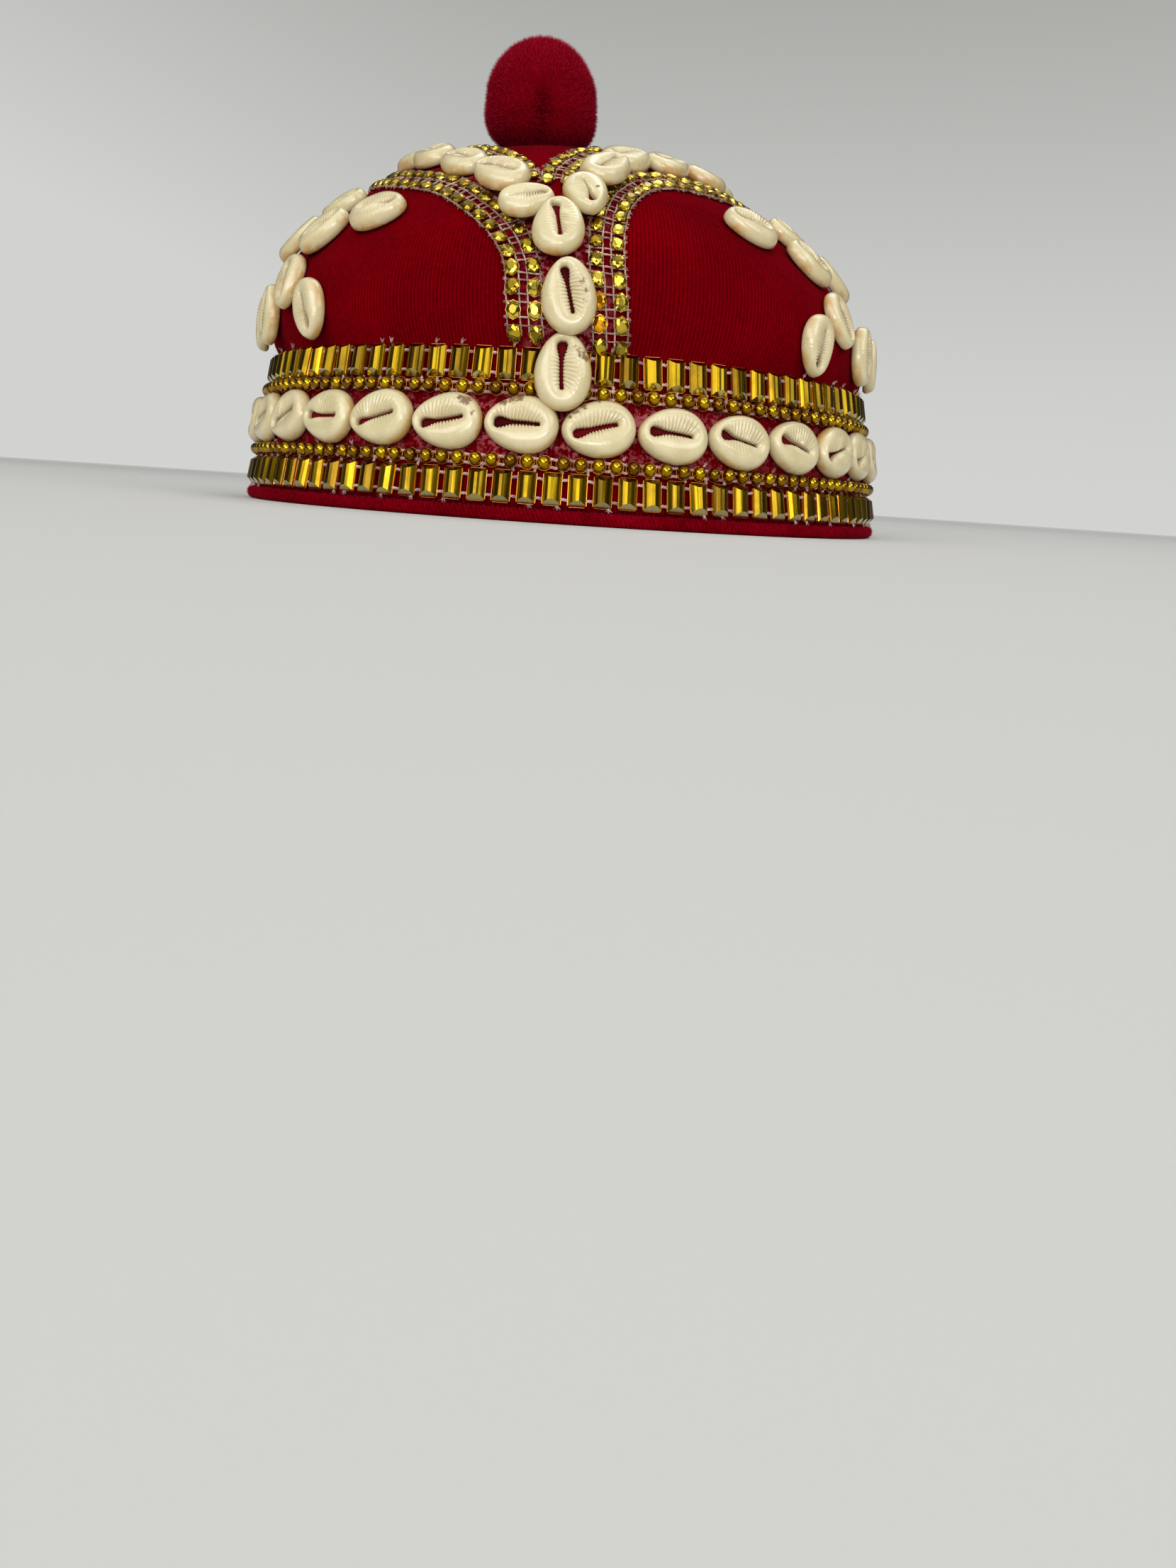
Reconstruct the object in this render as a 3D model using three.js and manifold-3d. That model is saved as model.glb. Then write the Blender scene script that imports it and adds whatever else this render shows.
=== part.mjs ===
// Velvet cap with cowrie shells, gold bead trims and a pompom.
// Units are millimetres, +Z is up and the wearer's face looks along -Y.
// The origin is on the resting plane, in the middle of the rim.
import * as THREE from 'three';
import { mergeVertices } from 'three/addons/utils/BufferGeometryUtils.js';
import Module from 'manifold-3d';

const wasm = await Module();
wasm.setup();

// Driving dimensions
const fitGap = 0.3;
const rimRadius = 98.4;
const bandTaper = 0.212;
const bandTop = 41;
const crownHeight = 65;
const crownBulge = { out: 13, up: 22, shoulder: 50 };
const crownLean = -6;
const velvetWall = 2;
const liningWall = 1;
const rimRoll = { height: 3.3, swell: 1.5, bevel: 0.9, nose: 1.8 };
const wallSegments = 40;
const crownRows = 9;

const baguette = { width: 4.8, height: 8.1, depth: 2.2, backing: 0.6, splay: 1.02 };
const lowerTrim = { bottom: 4, count: 99 };
const upperTrim = { bottom: 32.8, count: 96 };
const ballRow = { height: 2.4, depth: 2, shoulder: 1.2 };
const lowerBallBottom = 13.1;
const upperBallBottom = 29.3;
const stripWidth = 8.6;
const stripDepth = 2;
const stripStep = 5;
const stripSample = 0.002;

const shellWidthRatio = 0.73;
const shellHeight = 4.2;
const shellForm = { sides: 10, egg: 0.12, foot: 0.9, waist: 0.4, crestAcross: 0.62, crestAlong: 0.74 };
const slitForm = { along: 0.31, across: 0.06, flare: 0.4 };
const bandShell = { length: 18.9, width: 13, height: 22.3, count: 32, firstAzimuth: -6.3 };
const pompom = { x: -13.5, y: 0, radius: 16.1, height: 30, rows: 8, segments: 16 };

// Colours
const crimson = { color: 0x8f0a24, roughness: 0.95, metalness: 0 };
const black = { color: 0x0e0e11, roughness: 0.98, metalness: 0 };
const ivory = { color: 0xe9dfc4, roughness: 0.25, metalness: 0 };
const gold = { color: 0xc79a18, roughness: 0.25, metalness: 0.9 };
const stoneGold = { color: 0xcdb23c, roughness: 0.2, metalness: 0.7 };

const cap = new THREE.Group();

function addPiece(name, geometry, look) {
  const material = new THREE.MeshStandardMaterial(look);
  const mesh = new THREE.Mesh(geometry, material);
  mesh.name = name;
  cap.add(mesh);
  return mesh;
}

// The wall: a tapered band, then a soft dome
const bandTopRadius = rimRadius - bandTaper * bandTop;
const slant = Math.hypot(1, bandTaper);
const crownCurve = new THREE.CubicBezierCurve(
  new THREE.Vector2(bandTopRadius, bandTop),
  new THREE.Vector2(bandTopRadius + crownBulge.out, bandTop + crownBulge.up),
  new THREE.Vector2(crownBulge.shoulder, bandTop + crownHeight),
  new THREE.Vector2(0, bandTop + crownHeight),
);
crownCurve.arcLengthDivisions = 400;
const crownLength = crownCurve.getLength();

// Climb is the distance up the wall from the band's top edge, negative on the band
function wallPoint(climb) {
  if (climb < 0) {
    const down = -climb / slant;
    return new THREE.Vector2(bandTopRadius + bandTaper * down, bandTop - down);
  }
  return crownCurve.getPointAt(Math.min(climb / crownLength, 1));
}

function wallNormal(climb) {
  if (climb < 0) {
    return new THREE.Vector2(1 / slant, bandTaper / slant);
  }
  const along = crownCurve.getTangentAt(Math.min(climb / crownLength, 1));
  return new THREE.Vector2(along.y, -along.x);
}

function climbAt(height) {
  return (height - bandTop) * slant;
}

// The whole crown leans a little to one side above the band
function leanAt(z) {
  return crownLean * Math.max(0, z - bandTop) / crownHeight;
}

function leanOver(geometry) {
  const position = geometry.attributes.position;
  for (let i = 0; i < position.count; i += 1) {
    position.setX(i, position.getX(i) + leanAt(position.getZ(i)));
  }
  return geometry;
}

// A point at an azimuth (degrees, 0 at the front, growing to +X), a climb and a lift off the wall
function onWall(azimuth, climb, lift) {
  const angle = THREE.MathUtils.degToRad(azimuth);
  const at = wallPoint(climb).add(wallNormal(climb).multiplyScalar(lift));
  return new THREE.Vector3(
    at.x * Math.sin(angle) + leanAt(at.y),
    -at.x * Math.cos(angle),
    at.y,
  );
}

function wallFrame(azimuth, climb, lift) {
  const angle = THREE.MathUtils.degToRad(azimuth);
  const slope = wallNormal(climb);
  const out = new THREE.Vector3(slope.x * Math.sin(angle), -slope.x * Math.cos(angle), slope.y);
  const east = new THREE.Vector3(Math.cos(angle), Math.sin(angle), 0);
  const up = new THREE.Vector3().crossVectors(out, east);
  const frame = new THREE.Matrix4().makeBasis(east, up, out);
  frame.setPosition(onWall(azimuth, climb, lift));
  return frame;
}

// Closed solid of revolution from a radius-height outline, turned so that its axis is Z
function turned(outline, segments) {
  const points = outline.map((p) => new THREE.Vector2(Math.max(p[0], 0), p[1]));
  const geometry = new THREE.LatheGeometry(points, segments);
  geometry.rotateX(Math.PI / 2);
  return geometry;
}

// Merged positions only, with every face pointing out
function solidFrom(geometry) {
  const bare = new THREE.BufferGeometry();
  bare.setAttribute('position', geometry.attributes.position.clone());
  bare.setIndex(geometry.index ? geometry.index.clone() : null);
  const merged = mergeVertices(bare, 1e-4);
  const place = merged.attributes.position;
  const source = merged.index;
  const kept = [];
  for (let i = 0; i < source.count; i += 3) {
    const corner = [source.getX(i), source.getX(i + 1), source.getX(i + 2)];
    if (corner[0] !== corner[1] && corner[1] !== corner[2] && corner[2] !== corner[0]) {
      kept.push(...corner);
    }
  }
  merged.setIndex(kept);
  const a = new THREE.Vector3();
  const b = new THREE.Vector3();
  const c = new THREE.Vector3();
  let volume = 0;
  for (let i = 0; i < kept.length; i += 3) {
    a.fromBufferAttribute(place, kept[i]);
    b.fromBufferAttribute(place, kept[i + 1]);
    c.fromBufferAttribute(place, kept[i + 2]);
    volume += a.dot(b.cross(c));
  }
  if (volume < 0) {
    for (let i = 0; i < kept.length; i += 3) {
      [kept[i], kept[i + 1]] = [kept[i + 1], kept[i]];
    }
    merged.setIndex(kept);
  }
  return merged;
}

function toManifold(geometry) {
  const solid = solidFrom(geometry);
  return new wasm.Manifold(new wasm.Mesh({
    numProp: 3,
    vertProperties: new Float32Array(solid.attributes.position.array),
    triVerts: new Uint32Array(solid.index.array),
  }));
}

function fromManifold(manifold) {
  const mesh = manifold.getMesh();
  const geometry = new THREE.BufferGeometry();
  geometry.setAttribute('position', new THREE.BufferAttribute(mesh.vertProperties, 3));
  geometry.setIndex(new THREE.BufferAttribute(mesh.triVerts, 1));
  return geometry;
}

// Wall of one cloth between two depths below the outer surface, open at the rim
function clothWall(outerDepth, innerDepth, bottom) {
  const outline = [];
  const climbs = [climbAt(bottom), climbAt(0.5 * (bottom + bandTop))];
  for (let row = 0; row <= crownRows; row += 1) {
    climbs.push(crownLength * row / crownRows);
  }
  for (const climb of climbs) {
    const at = wallPoint(climb).add(wallNormal(climb).multiplyScalar(-outerDepth));
    outline.push([at.x, at.y]);
  }
  for (const climb of climbs.reverse()) {
    const at = wallPoint(climb).add(wallNormal(climb).multiplyScalar(-innerDepth));
    outline.push([at.x, at.y]);
  }
  outline[0][1] = bottom;
  outline[outline.length - 1][1] = bottom;
  outline.push(outline[0]);
  return leanOver(solidFrom(turned(outline, wallSegments)));
}

// Row of bead blocks standing on a thin backing, following the band's taper
function baguetteRing(bottom, count) {
  const half = baguette.width / 2;
  const quarter = Math.PI / (2 * count);
  const levels = [bottom, bottom + baguette.height].map((z) => {
    const wall = rimRadius - bandTaper * z;
    return {
      z,
      inner: (wall + fitGap) / Math.cos(quarter),
      valley: wall + fitGap + baguette.backing,
      face: wall + fitGap + baguette.depth,
    };
  });
  const vertices = [];
  const faces = [];
  for (const level of levels) {
    for (let i = 0; i < count; i += 1) {
      const angle = 2 * Math.PI * i / count;
      const spread = half / level.face;
      const corners = [
        [level.valley, angle - spread * baguette.splay],
        [level.face, angle - spread],
        [level.face, angle + spread],
        [level.valley, angle + spread * baguette.splay],
        [level.inner, angle - quarter],
        [level.inner, angle + quarter],
      ];
      for (const [radius, turn] of corners) {
        vertices.push(radius * Math.sin(turn), -radius * Math.cos(turn), level.z);
      }
    }
  }
  const top = 6 * count;
  const quad = (a, b, c, d) => faces.push(a, b, c, a, c, d);
  for (let i = 0; i < count; i += 1) {
    const here = 6 * i;
    const next = 6 * ((i + 1) % count);
    const edge = [here, here + 1, here + 2, here + 3, next];
    for (let k = 0; k + 1 < edge.length; k += 1) {
      quad(edge[k], edge[k + 1], edge[k + 1] + top, edge[k] + top);
    }
    quad(here + 5, here + 4, here + 4 + top, here + 5 + top);
    quad(next + 4, here + 5, here + 5 + top, next + 4 + top);
    for (const [base, flip] of [[0, true], [top, false]]) {
      const lid = [
        [here, here + 1, here + 4],
        [here + 1, here + 2, here + 4],
        [here + 2, here + 5, here + 4],
        [here + 2, here + 3, here + 5],
        [here + 3, next, here + 5],
        [next, next + 4, here + 5],
      ];
      for (const [a, b, c] of lid) {
        faces.push(...(flip ? [a + base, c + base, b + base] : [a + base, b + base, c + base]));
      }
    }
  }
  const geometry = new THREE.BufferGeometry();
  geometry.setAttribute('position', new THREE.Float32BufferAttribute(vertices, 3));
  geometry.setIndex(faces);
  return solidFrom(geometry);
}

// Band of small beads, one ring with bevelled edges
function ballBand(bottom) {
  const wall = (z) => rimRadius - bandTaper * z + fitGap;
  const top = bottom + ballRow.height;
  const outline = [
    [wall(bottom), bottom],
    [wall(bottom) + ballRow.shoulder, bottom],
    [wall(bottom + 0.5 * ballRow.height) + ballRow.depth, bottom + 0.5 * ballRow.height],
    [wall(top) + ballRow.shoulder, top],
    [wall(top), top],
    [wall(bottom), bottom],
  ];
  return solidFrom(turned(outline, wallSegments));
}

// Ribbon of rhinestones laid on the wall along a route of azimuth and climb
function stoneStrip(route) {
  const guide = new THREE.CatmullRomCurve3(
    route.map(([azimuth, climb]) => onWall(azimuth, climb, 0)), false, 'centripetal');
  const turns = new THREE.CatmullRomCurve3(
    route.map(([azimuth, climb]) => new THREE.Vector3(azimuth, climb, 0)), false, 'centripetal');
  const steps = Math.ceil(guide.getLength() / stripStep);
  const low = fitGap;
  const high = fitGap + stripDepth;
  const section = [[-1, low], [1, low], [1, high], [-1, high]];
  const vertices = [];
  const faces = [];
  for (let i = 0; i <= steps; i += 1) {
    const t = i / steps;
    const at = turns.getPoint(t);
    const before = turns.getPoint(Math.max(t - stripSample, 0));
    const after = turns.getPoint(Math.min(t + stripSample, 1));
    const radius = wallPoint(at.y).x;
    const degree = radius * Math.PI / 180;
    const east = (after.x - before.x) * degree;
    const up = after.y - before.y;
    const length = Math.hypot(east, up);
    for (const [side, lift] of section) {
      const across = side * stripWidth / 2;
      const azimuth = at.x + across * up / length / degree;
      const climb = at.y - across * east / length;
      const corner = onWall(azimuth, climb, lift);
      vertices.push(corner.x, corner.y, corner.z);
    }
  }
  for (let i = 0; i < steps; i += 1) {
    for (let k = 0; k < 4; k += 1) {
      const a = 4 * i + k;
      const b = 4 * i + (k + 1) % 4;
      faces.push(a, b, b + 4, a, b + 4, a + 4);
    }
  }
  const last = 4 * steps;
  faces.push(0, 2, 1, 0, 3, 2, last, last + 1, last + 2, last, last + 2, last + 3);
  const geometry = new THREE.BufferGeometry();
  geometry.setAttribute('position', new THREE.Float32BufferAttribute(vertices, 3));
  geometry.setIndex(faces);
  return solidFrom(geometry);
}

// One cut-back cowrie: an egg-shaped ring with a slit right through, narrow end at +Y
function cowrie(length, width, height) {
  const { sides, egg, foot, waist, crestAcross, crestAlong } = shellForm;
  const vertices = [];
  const faces = [];
  for (let i = 0; i < sides; i += 1) {
    const angle = 2 * Math.PI * i / sides;
    const along = Math.cos(angle) * length / 2;
    const across = Math.sin(angle) * (1 - egg * Math.cos(angle)) * width / 2;
    const slitAlong = Math.cos(angle) * slitForm.along * length;
    const gape = slitForm.across * (1 + slitForm.flare * Math.cos(angle));
    const slitAcross = Math.sin(angle) * gape * width;
    vertices.push(across * foot, along * foot, 0);
    vertices.push(across, along, waist * height);
    vertices.push(across * crestAcross, along * crestAlong, height);
    vertices.push(slitAcross, slitAlong, 0);
  }
  for (let i = 0; i < sides; i += 1) {
    const here = 4 * i;
    const next = 4 * ((i + 1) % sides);
    for (let k = 0; k < 4; k += 1) {
      const step = (k + 1) % 4;
      faces.push(here + k, here + step, next + step, here + k, next + step, next + k);
    }
  }
  const geometry = new THREE.BufferGeometry();
  geometry.setAttribute('position', new THREE.Float32BufferAttribute(vertices, 3));
  geometry.setIndex(faces);
  return solidFrom(geometry);
}

// Turn is the narrow end's lean from straight up the wall, positive towards growing azimuth
function placedCowrie(azimuth, climb, turn, length, lift) {
  const geometry = cowrie(length, length * shellWidthRatio, shellHeight);
  geometry.rotateZ(-THREE.MathUtils.degToRad(turn));
  geometry.applyMatrix4(wallFrame(azimuth, climb, lift));
  return geometry;
}

// Velvet, rim and lining
const shellBottom = rimRoll.height + fitGap;
addPiece('crown_shell', clothWall(0, velvetWall, shellBottom), crimson);
const liningOuter = velvetWall + fitGap;
addPiece('lining', clothWall(liningOuter, liningOuter + liningWall, shellBottom), black);

function rimRollSolid() {
  const outer = rimRadius + rimRoll.swell;
  const inner = rimRadius - liningOuter - liningWall;
  const outline = [
    [inner, rimRoll.bevel],
    [inner + rimRoll.bevel, 0],
    [outer - rimRoll.nose, 0],
    [outer - 0.25 * rimRoll.nose, 0.4 * rimRoll.nose],
    [outer, rimRoll.nose],
    [outer - 0.5 * rimRoll.bevel, rimRoll.height],
    [inner - 0.5 * rimRoll.bevel, rimRoll.height],
    [inner, rimRoll.bevel],
  ];
  return solidFrom(turned(outline, wallSegments));
}
addPiece('rim_roll', rimRollSolid(), crimson);

// Bead trims
addPiece('lower_baguette_ring', baguetteRing(lowerTrim.bottom, lowerTrim.count), gold);
addPiece('upper_baguette_ring', baguetteRing(upperTrim.bottom, upperTrim.count), gold);
addPiece('lower_ball_row', ballBand(lowerBallBottom), gold);
addPiece('upper_ball_row', ballBand(upperBallBottom), gold);

// Rhinestone strips: one runs up the front, around the crown and down again, one rings the top
const outerRoute = [
  [-6.6, 2.4], [-6.6, 10], [-7, 20], [-9.5, 28.5], [-15, 37.5], [-25, 48], [-37, 53.5],
  [-52, 59], [-70, 64], [-90, 65.5], [-135, 60], [-180, 55.5], [-225, 60], [-270, 65.5],
  [-290, 65], [-307, 63.5], [-322, 62], [-334, 60.5], [-342, 56], [-347.5, 49],
  [-351, 41], [-353, 31], [-353.7, 21], [-353.7, 10], [-353.7, 2.4],
];
const innerRoute = [
  [-9, 51], [-10, 55.5], [-14, 63], [-24, 72.4], [-40, 80], [-60, 85.5], [-90, 88.5],
  [-135, 83.5], [-180, 78.5], [-225, 83.5], [-270, 88.5], [-300, 87], [-322, 84],
  [-335, 82], [-348, 78.5], [-356, 69], [-360.5, 59], [-361.5, 51],
];
addPiece('outer_rhinestone_strip', stoneStrip(outerRoute), stoneGold);
addPiece('inner_rhinestone_strip', stoneStrip(innerRoute), stoneGold);

// Cowries around the band, joined end to end in four rows
function bandCowries(first, count) {
  const radius = rimRadius - bandTaper * bandShell.height;
  const pitch = 2 * Math.PI * radius / bandShell.count;
  const inside = (count * pitch - fitGap - bandShell.length) / (count - 1);
  const step = THREE.MathUtils.radToDeg(inside / radius);
  const whole = 360 / bandShell.count;
  const middle = bandShell.firstAzimuth + whole * (first + (count - 1) / 2);
  let joined = null;
  for (let i = 0; i < count; i += 1) {
    const geometry = cowrie(bandShell.length, bandShell.width, shellHeight);
    geometry.rotateZ(Math.PI / 2);
    const azimuth = middle + step * (i - (count - 1) / 2);
    geometry.applyMatrix4(wallFrame(azimuth, climbAt(bandShell.height), fitGap));
    const solid = toManifold(geometry);
    joined = joined === null ? solid : joined.add(solid);
  }
  return fromManifold(joined);
}
addPiece('band_cowries_front', bandCowries(-4, 10), ivory);
addPiece('band_cowries_right', bandCowries(6, 6), ivory);
addPiece('band_cowries_back', bandCowries(12, 10), ivory);
addPiece('band_cowries_left', bandCowries(22, 6), ivory);

// Single cowries. Columns: azimuth, climb, turn, length, lift.
const onCloth = fitGap;
const onHip = -0.5;
const onTrim = 2.9;
const onStrip = 2.7;
const frontColumn = [
  [-0.8, -6.6, 0, 18, onTrim],
  [0.2, 10.9, -8, 16.6, onStrip],
  [-1.2, 27, 0, 15.2, onStrip],
];
const crownShells = [
  [-6.6, 35.3, 78, 13.5, onStrip],
  [3.8, 39.5, 172, 14.5, onStrip],
  [-12.3, 46, -62, 15.5, onStrip],
  [-25.4, 59.5, -60, 15.6, onCloth],
  [-42, 68.5, -66, 16, onCloth],
  [9, 52.5, 42, 15, onStrip],
  [18, 68.7, 58, 16, onCloth],
  [35, 73, 68, 16, onCloth],
];
const leftSide = [
  [-37, 36, 80, 17, onCloth],
  [-51, 31.5, 56, 17, onCloth],
  [-54, 43.2, 62, 15, onCloth],
  [-66, 33, 42, 17, onCloth],
  [-55, 16.5, 170, 15.5, onCloth],
  [-46.5, 8.8, 162, 15.6, onCloth],
  [-64, 9.6, 8, 16, onCloth],
  [-77, 9.4, 12, 15.5, onCloth],
];
const rightSide = [
  [40, 41.5, -76, 17, onCloth],
  [55, 34, -58, 17, onCloth],
  [58, 45.5, -66, 15, onCloth],
  [70, 33.5, -46, 17, onCloth],
  [54, 16.5, 166, 15.5, onCloth],
  [44.5, 8.4, 186, 15.6, onCloth],
  [63, 9.4, -6, 16, onHip],
  [76, 9.4, -12, 15.5, onHip],
];

// Cowries that close the ring around the back of the crown, nearer the middle at the sides
const backRing = { from: 56, to: 300, count: 12, length: 16.5, climb: 72, pull: 5 };
const backShells = [];
for (let i = 0; i < backRing.count; i += 1) {
  const azimuth = backRing.from + (backRing.to - backRing.from) * i / (backRing.count - 1);
  const climb = backRing.climb - backRing.pull * Math.cos(THREE.MathUtils.degToRad(2 * azimuth));
  backShells.push([azimuth, climb, 90, backRing.length, onCloth]);
}

function addCowries(prefix, rows) {
  rows.forEach(([azimuth, climb, turn, length, lift], i) => {
    addPiece(`${prefix}_${i + 1}`, placedCowrie(azimuth, climb, turn, length, lift), ivory);
  });
}
addCowries('front_cowrie', frontColumn);
addCowries('crown_cowrie', crownShells);
addCowries('left_cowrie', leftSide);
addCowries('right_cowrie', rightSide);
addCowries('back_cowrie', backShells);

// Pompom
function pompomSolid() {
  const outline = [];
  for (let i = 0; i <= pompom.rows; i += 1) {
    const angle = Math.PI * (i / pompom.rows - 0.5);
    outline.push([pompom.radius * Math.cos(angle), 0.5 * pompom.height * Math.sin(angle)]);
  }
  outline[0][0] = 0;
  outline[pompom.rows][0] = 0;
  return solidFrom(turned(outline, pompom.segments));
}
const pompomMesh = addPiece('pompom', pompomSolid(), crimson);
const seat = bandTop + crownHeight + fitGap;
pompomMesh.position.set(pompom.x, pompom.y, seat + 0.5 * pompom.height);

export default cap;
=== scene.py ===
import math

import bmesh
import bpy
import numpy as np
from mathutils import Matrix, Vector


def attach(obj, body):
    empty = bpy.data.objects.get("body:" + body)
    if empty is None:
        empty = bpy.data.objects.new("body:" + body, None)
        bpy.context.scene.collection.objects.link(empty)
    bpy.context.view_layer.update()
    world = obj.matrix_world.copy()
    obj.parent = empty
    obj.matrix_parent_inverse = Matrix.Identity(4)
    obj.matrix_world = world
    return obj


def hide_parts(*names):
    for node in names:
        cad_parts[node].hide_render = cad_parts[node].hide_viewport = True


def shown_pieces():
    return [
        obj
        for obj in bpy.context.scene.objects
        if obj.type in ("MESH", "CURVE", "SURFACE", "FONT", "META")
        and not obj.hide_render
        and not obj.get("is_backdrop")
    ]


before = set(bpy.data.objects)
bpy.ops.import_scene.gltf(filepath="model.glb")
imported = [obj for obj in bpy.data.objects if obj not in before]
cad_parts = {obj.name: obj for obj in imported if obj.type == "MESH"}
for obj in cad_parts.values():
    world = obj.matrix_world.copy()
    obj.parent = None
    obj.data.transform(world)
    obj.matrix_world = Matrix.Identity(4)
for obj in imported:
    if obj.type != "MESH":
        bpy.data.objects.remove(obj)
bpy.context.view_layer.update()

print("frame loaded:", len(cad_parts), "nodes")

mm = 0.001

# Sockets as numbers, nodes from one method


# One socket that holds a number, with the operators that finishes and trees use
class Num:
    def __init__(self, kit, socket):
        self.kit = kit
        self.socket = socket

    def math(self, operation, first, second):
        made = self.kit.node("ShaderNodeMath", {"operation": operation}, {0: first, 1: second})
        return Num(self.kit, made.outputs[0])

    def __add__(self, other):
        return self.math("ADD", self, other)

    def __radd__(self, other):
        return self.math("ADD", other, self)

    def __sub__(self, other):
        return self.math("SUBTRACT", self, other)

    def __rsub__(self, other):
        return self.math("SUBTRACT", other, self)

    def __mul__(self, other):
        return self.math("MULTIPLY", self, other)

    def __rmul__(self, other):
        return self.math("MULTIPLY", other, self)

    def __truediv__(self, other):
        return self.math("DIVIDE", self, other)

    def __rtruediv__(self, other):
        return self.math("DIVIDE", other, self)

    def over(self, edge):
        return self.math("GREATER_THAN", self, edge)

    def wave(self):
        made = self.kit.node("ShaderNodeMath", {"operation": "SINE"}, {0: self})
        return Num(self.kit, made.outputs[0])

    def cosWave(self):
        made = self.kit.node("ShaderNodeMath", {"operation": "COSINE"}, {0: self})
        return Num(self.kit, made.outputs[0])

    def spread(self, low, high):
        # 0 at low and below, 1 at high and above, smooth between
        made = self.kit.node(
            "ShaderNodeMapRange",
            {"interpolation_type": "SMOOTHSTEP"},
            {"Value": self, "From Min": low, "From Max": high},
        )
        return Num(self.kit, made.outputs["Result"])


# Adds nodes to one tree, for a finish or for geometry
class NodeKit:
    def __init__(self, tree):
        self.tree = tree

    def socketOf(self, sockets, key):
        if isinstance(key, int):
            return sockets[key]
        for socket in sockets:
            if socket.identifier == key:
                return socket
        return sockets[key]

    def node(self, kind, settings=None, values=None):
        made = self.tree.nodes.new(kind)
        for key, value in (settings or {}).items():
            setattr(made, key, value)
        for key, value in (values or {}).items():
            socket = self.socketOf(made.inputs, key)
            if isinstance(value, Num):
                self.tree.links.new(value.socket, socket)
            elif isinstance(value, bpy.types.NodeSocket):
                self.tree.links.new(value, socket)
            else:
                socket.default_value = value
        return made

    def num(self, made, key=0):
        return Num(self, self.socketOf(made.outputs, key))

    def noise(self, vector, scale, detail=2.0, roughness=0.5):
        made = self.node(
            "ShaderNodeTexNoise",
            None,
            {"Vector": vector, "Scale": scale, "Detail": detail, "Roughness": roughness},
        )
        return self.num(made, "Fac")

    def blend(self, amount, first, second):
        made = self.node(
            "ShaderNodeMix",
            {"data_type": "RGBA"},
            {"Factor_Float": amount, "A_Color": first, "B_Color": second},
        )
        return self.socketOf(made.outputs, "Result_Color")

    def objectPoint(self):
        return self.node("ShaderNodeTexCoord").outputs["Object"]

    def stored(self, name):
        made = self.node("ShaderNodeAttribute", {"attribute_name": name})
        return self.num(made, "Fac")

    def bump(self, height, distance, strength):
        values = {"Height": height, "Distance": distance, "Strength": strength}
        return self.node("ShaderNodeBump", None, values).outputs["Normal"]


# A material with its shader; fixed gives the numbers that are the same all over
def newFinish(name, fixed):
    material = bpy.data.materials.new(name)
    material.use_nodes = True
    tree = material.node_tree
    shader = tree.nodes["Principled BSDF"]
    for key, value in fixed.items():
        shader.inputs[key].default_value = value
    return material, NodeKit(tree), shader


# What may change over a surface, and the shader's socket for it
shaderInputs = {
    "colour": "Base Color",
    "rough": "Roughness",
    "normal": "Normal",
    "metal": "Metallic",
    "coat": "Coat Weight",
    "glow": "Emission Color",
}


def feed(kit, shader, **links):
    for key, value in links.items():
        source = value.socket if isinstance(value, Num) else value
        kit.tree.links.new(source, shader.inputs[shaderInputs[key]])


# A colour given as 0-255 display values, as the linear colour the shader wants
def rgb(red, green, blue):
    def linear(c):
        c = c / 255
        return c / 12.92 if c <= 0.04045 else ((c + 0.055) / 1.055) ** 2.4
    return (linear(red), linear(green), linear(blue), 1.0)


# The wall that everything sits on, in millimetres

wall = {
    "rimRadius": 98.4,
    "taper": 0.212,
    "bandTop": 41.0,
    "crownHeight": 65.0,
    "bulgeOut": 13.0,
    "bulgeUp": 22.0,
    "shoulder": 50.0,
    "lean": -6.0,
}
bandTopRadius = wall["rimRadius"] - wall["taper"] * wall["bandTop"]
slant = math.hypot(1, wall["taper"])
crownPins = np.array([
    (bandTopRadius, wall["bandTop"]),
    (bandTopRadius + wall["bulgeOut"], wall["bandTop"] + wall["bulgeUp"]),
    (wall["shoulder"], wall["bandTop"] + wall["crownHeight"]),
    (0.0, wall["bandTop"] + wall["crownHeight"]),
])
crownSteps = np.linspace(0, 1, 801)


def crownCurve(t):
    t = np.asarray(t, float)[..., None]
    a, b, c, d = crownPins
    at = (1 - t) ** 3 * a + 3 * (1 - t) ** 2 * t * b + 3 * (1 - t) * t * t * c + t ** 3 * d
    along = 3 * (1 - t) ** 2 * (b - a) + 6 * (1 - t) * t * (c - b) + 3 * t * t * (d - c)
    return at, along


def runAlong(points, power=1.0):
    # how far along a path each of its points is
    steps = np.linalg.norm(np.diff(points, axis=0), axis=1)
    return np.concatenate([[0], np.cumsum(steps ** power)])


crownRun = runAlong(crownCurve(crownSteps)[0])
crownLength = float(crownRun[-1])


# Radius, height and outward normal at a distance up the wall from the band's top edge
def wallProfile(climb):
    climb = np.asarray(climb, float)
    at, along = crownCurve(np.interp(climb, crownRun, crownSteps))
    size = np.linalg.norm(along, axis=-1)
    down = np.maximum(-climb, 0) / slant
    low = climb < 0
    radius = np.where(low, bandTopRadius + wall["taper"] * down, at[..., 0])
    height = np.where(low, wall["bandTop"] - down, at[..., 1])
    outR = np.where(low, 1 / slant, along[..., 1] / size)
    outZ = np.where(low, wall["taper"] / slant, -along[..., 0] / size)
    return radius, height, outR, outZ


def leanAt(height):
    return wall["lean"] * np.maximum(0, height - wall["bandTop"]) / wall["crownHeight"]


def climbAt(height):
    return (height - wall["bandTop"]) * slant


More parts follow.
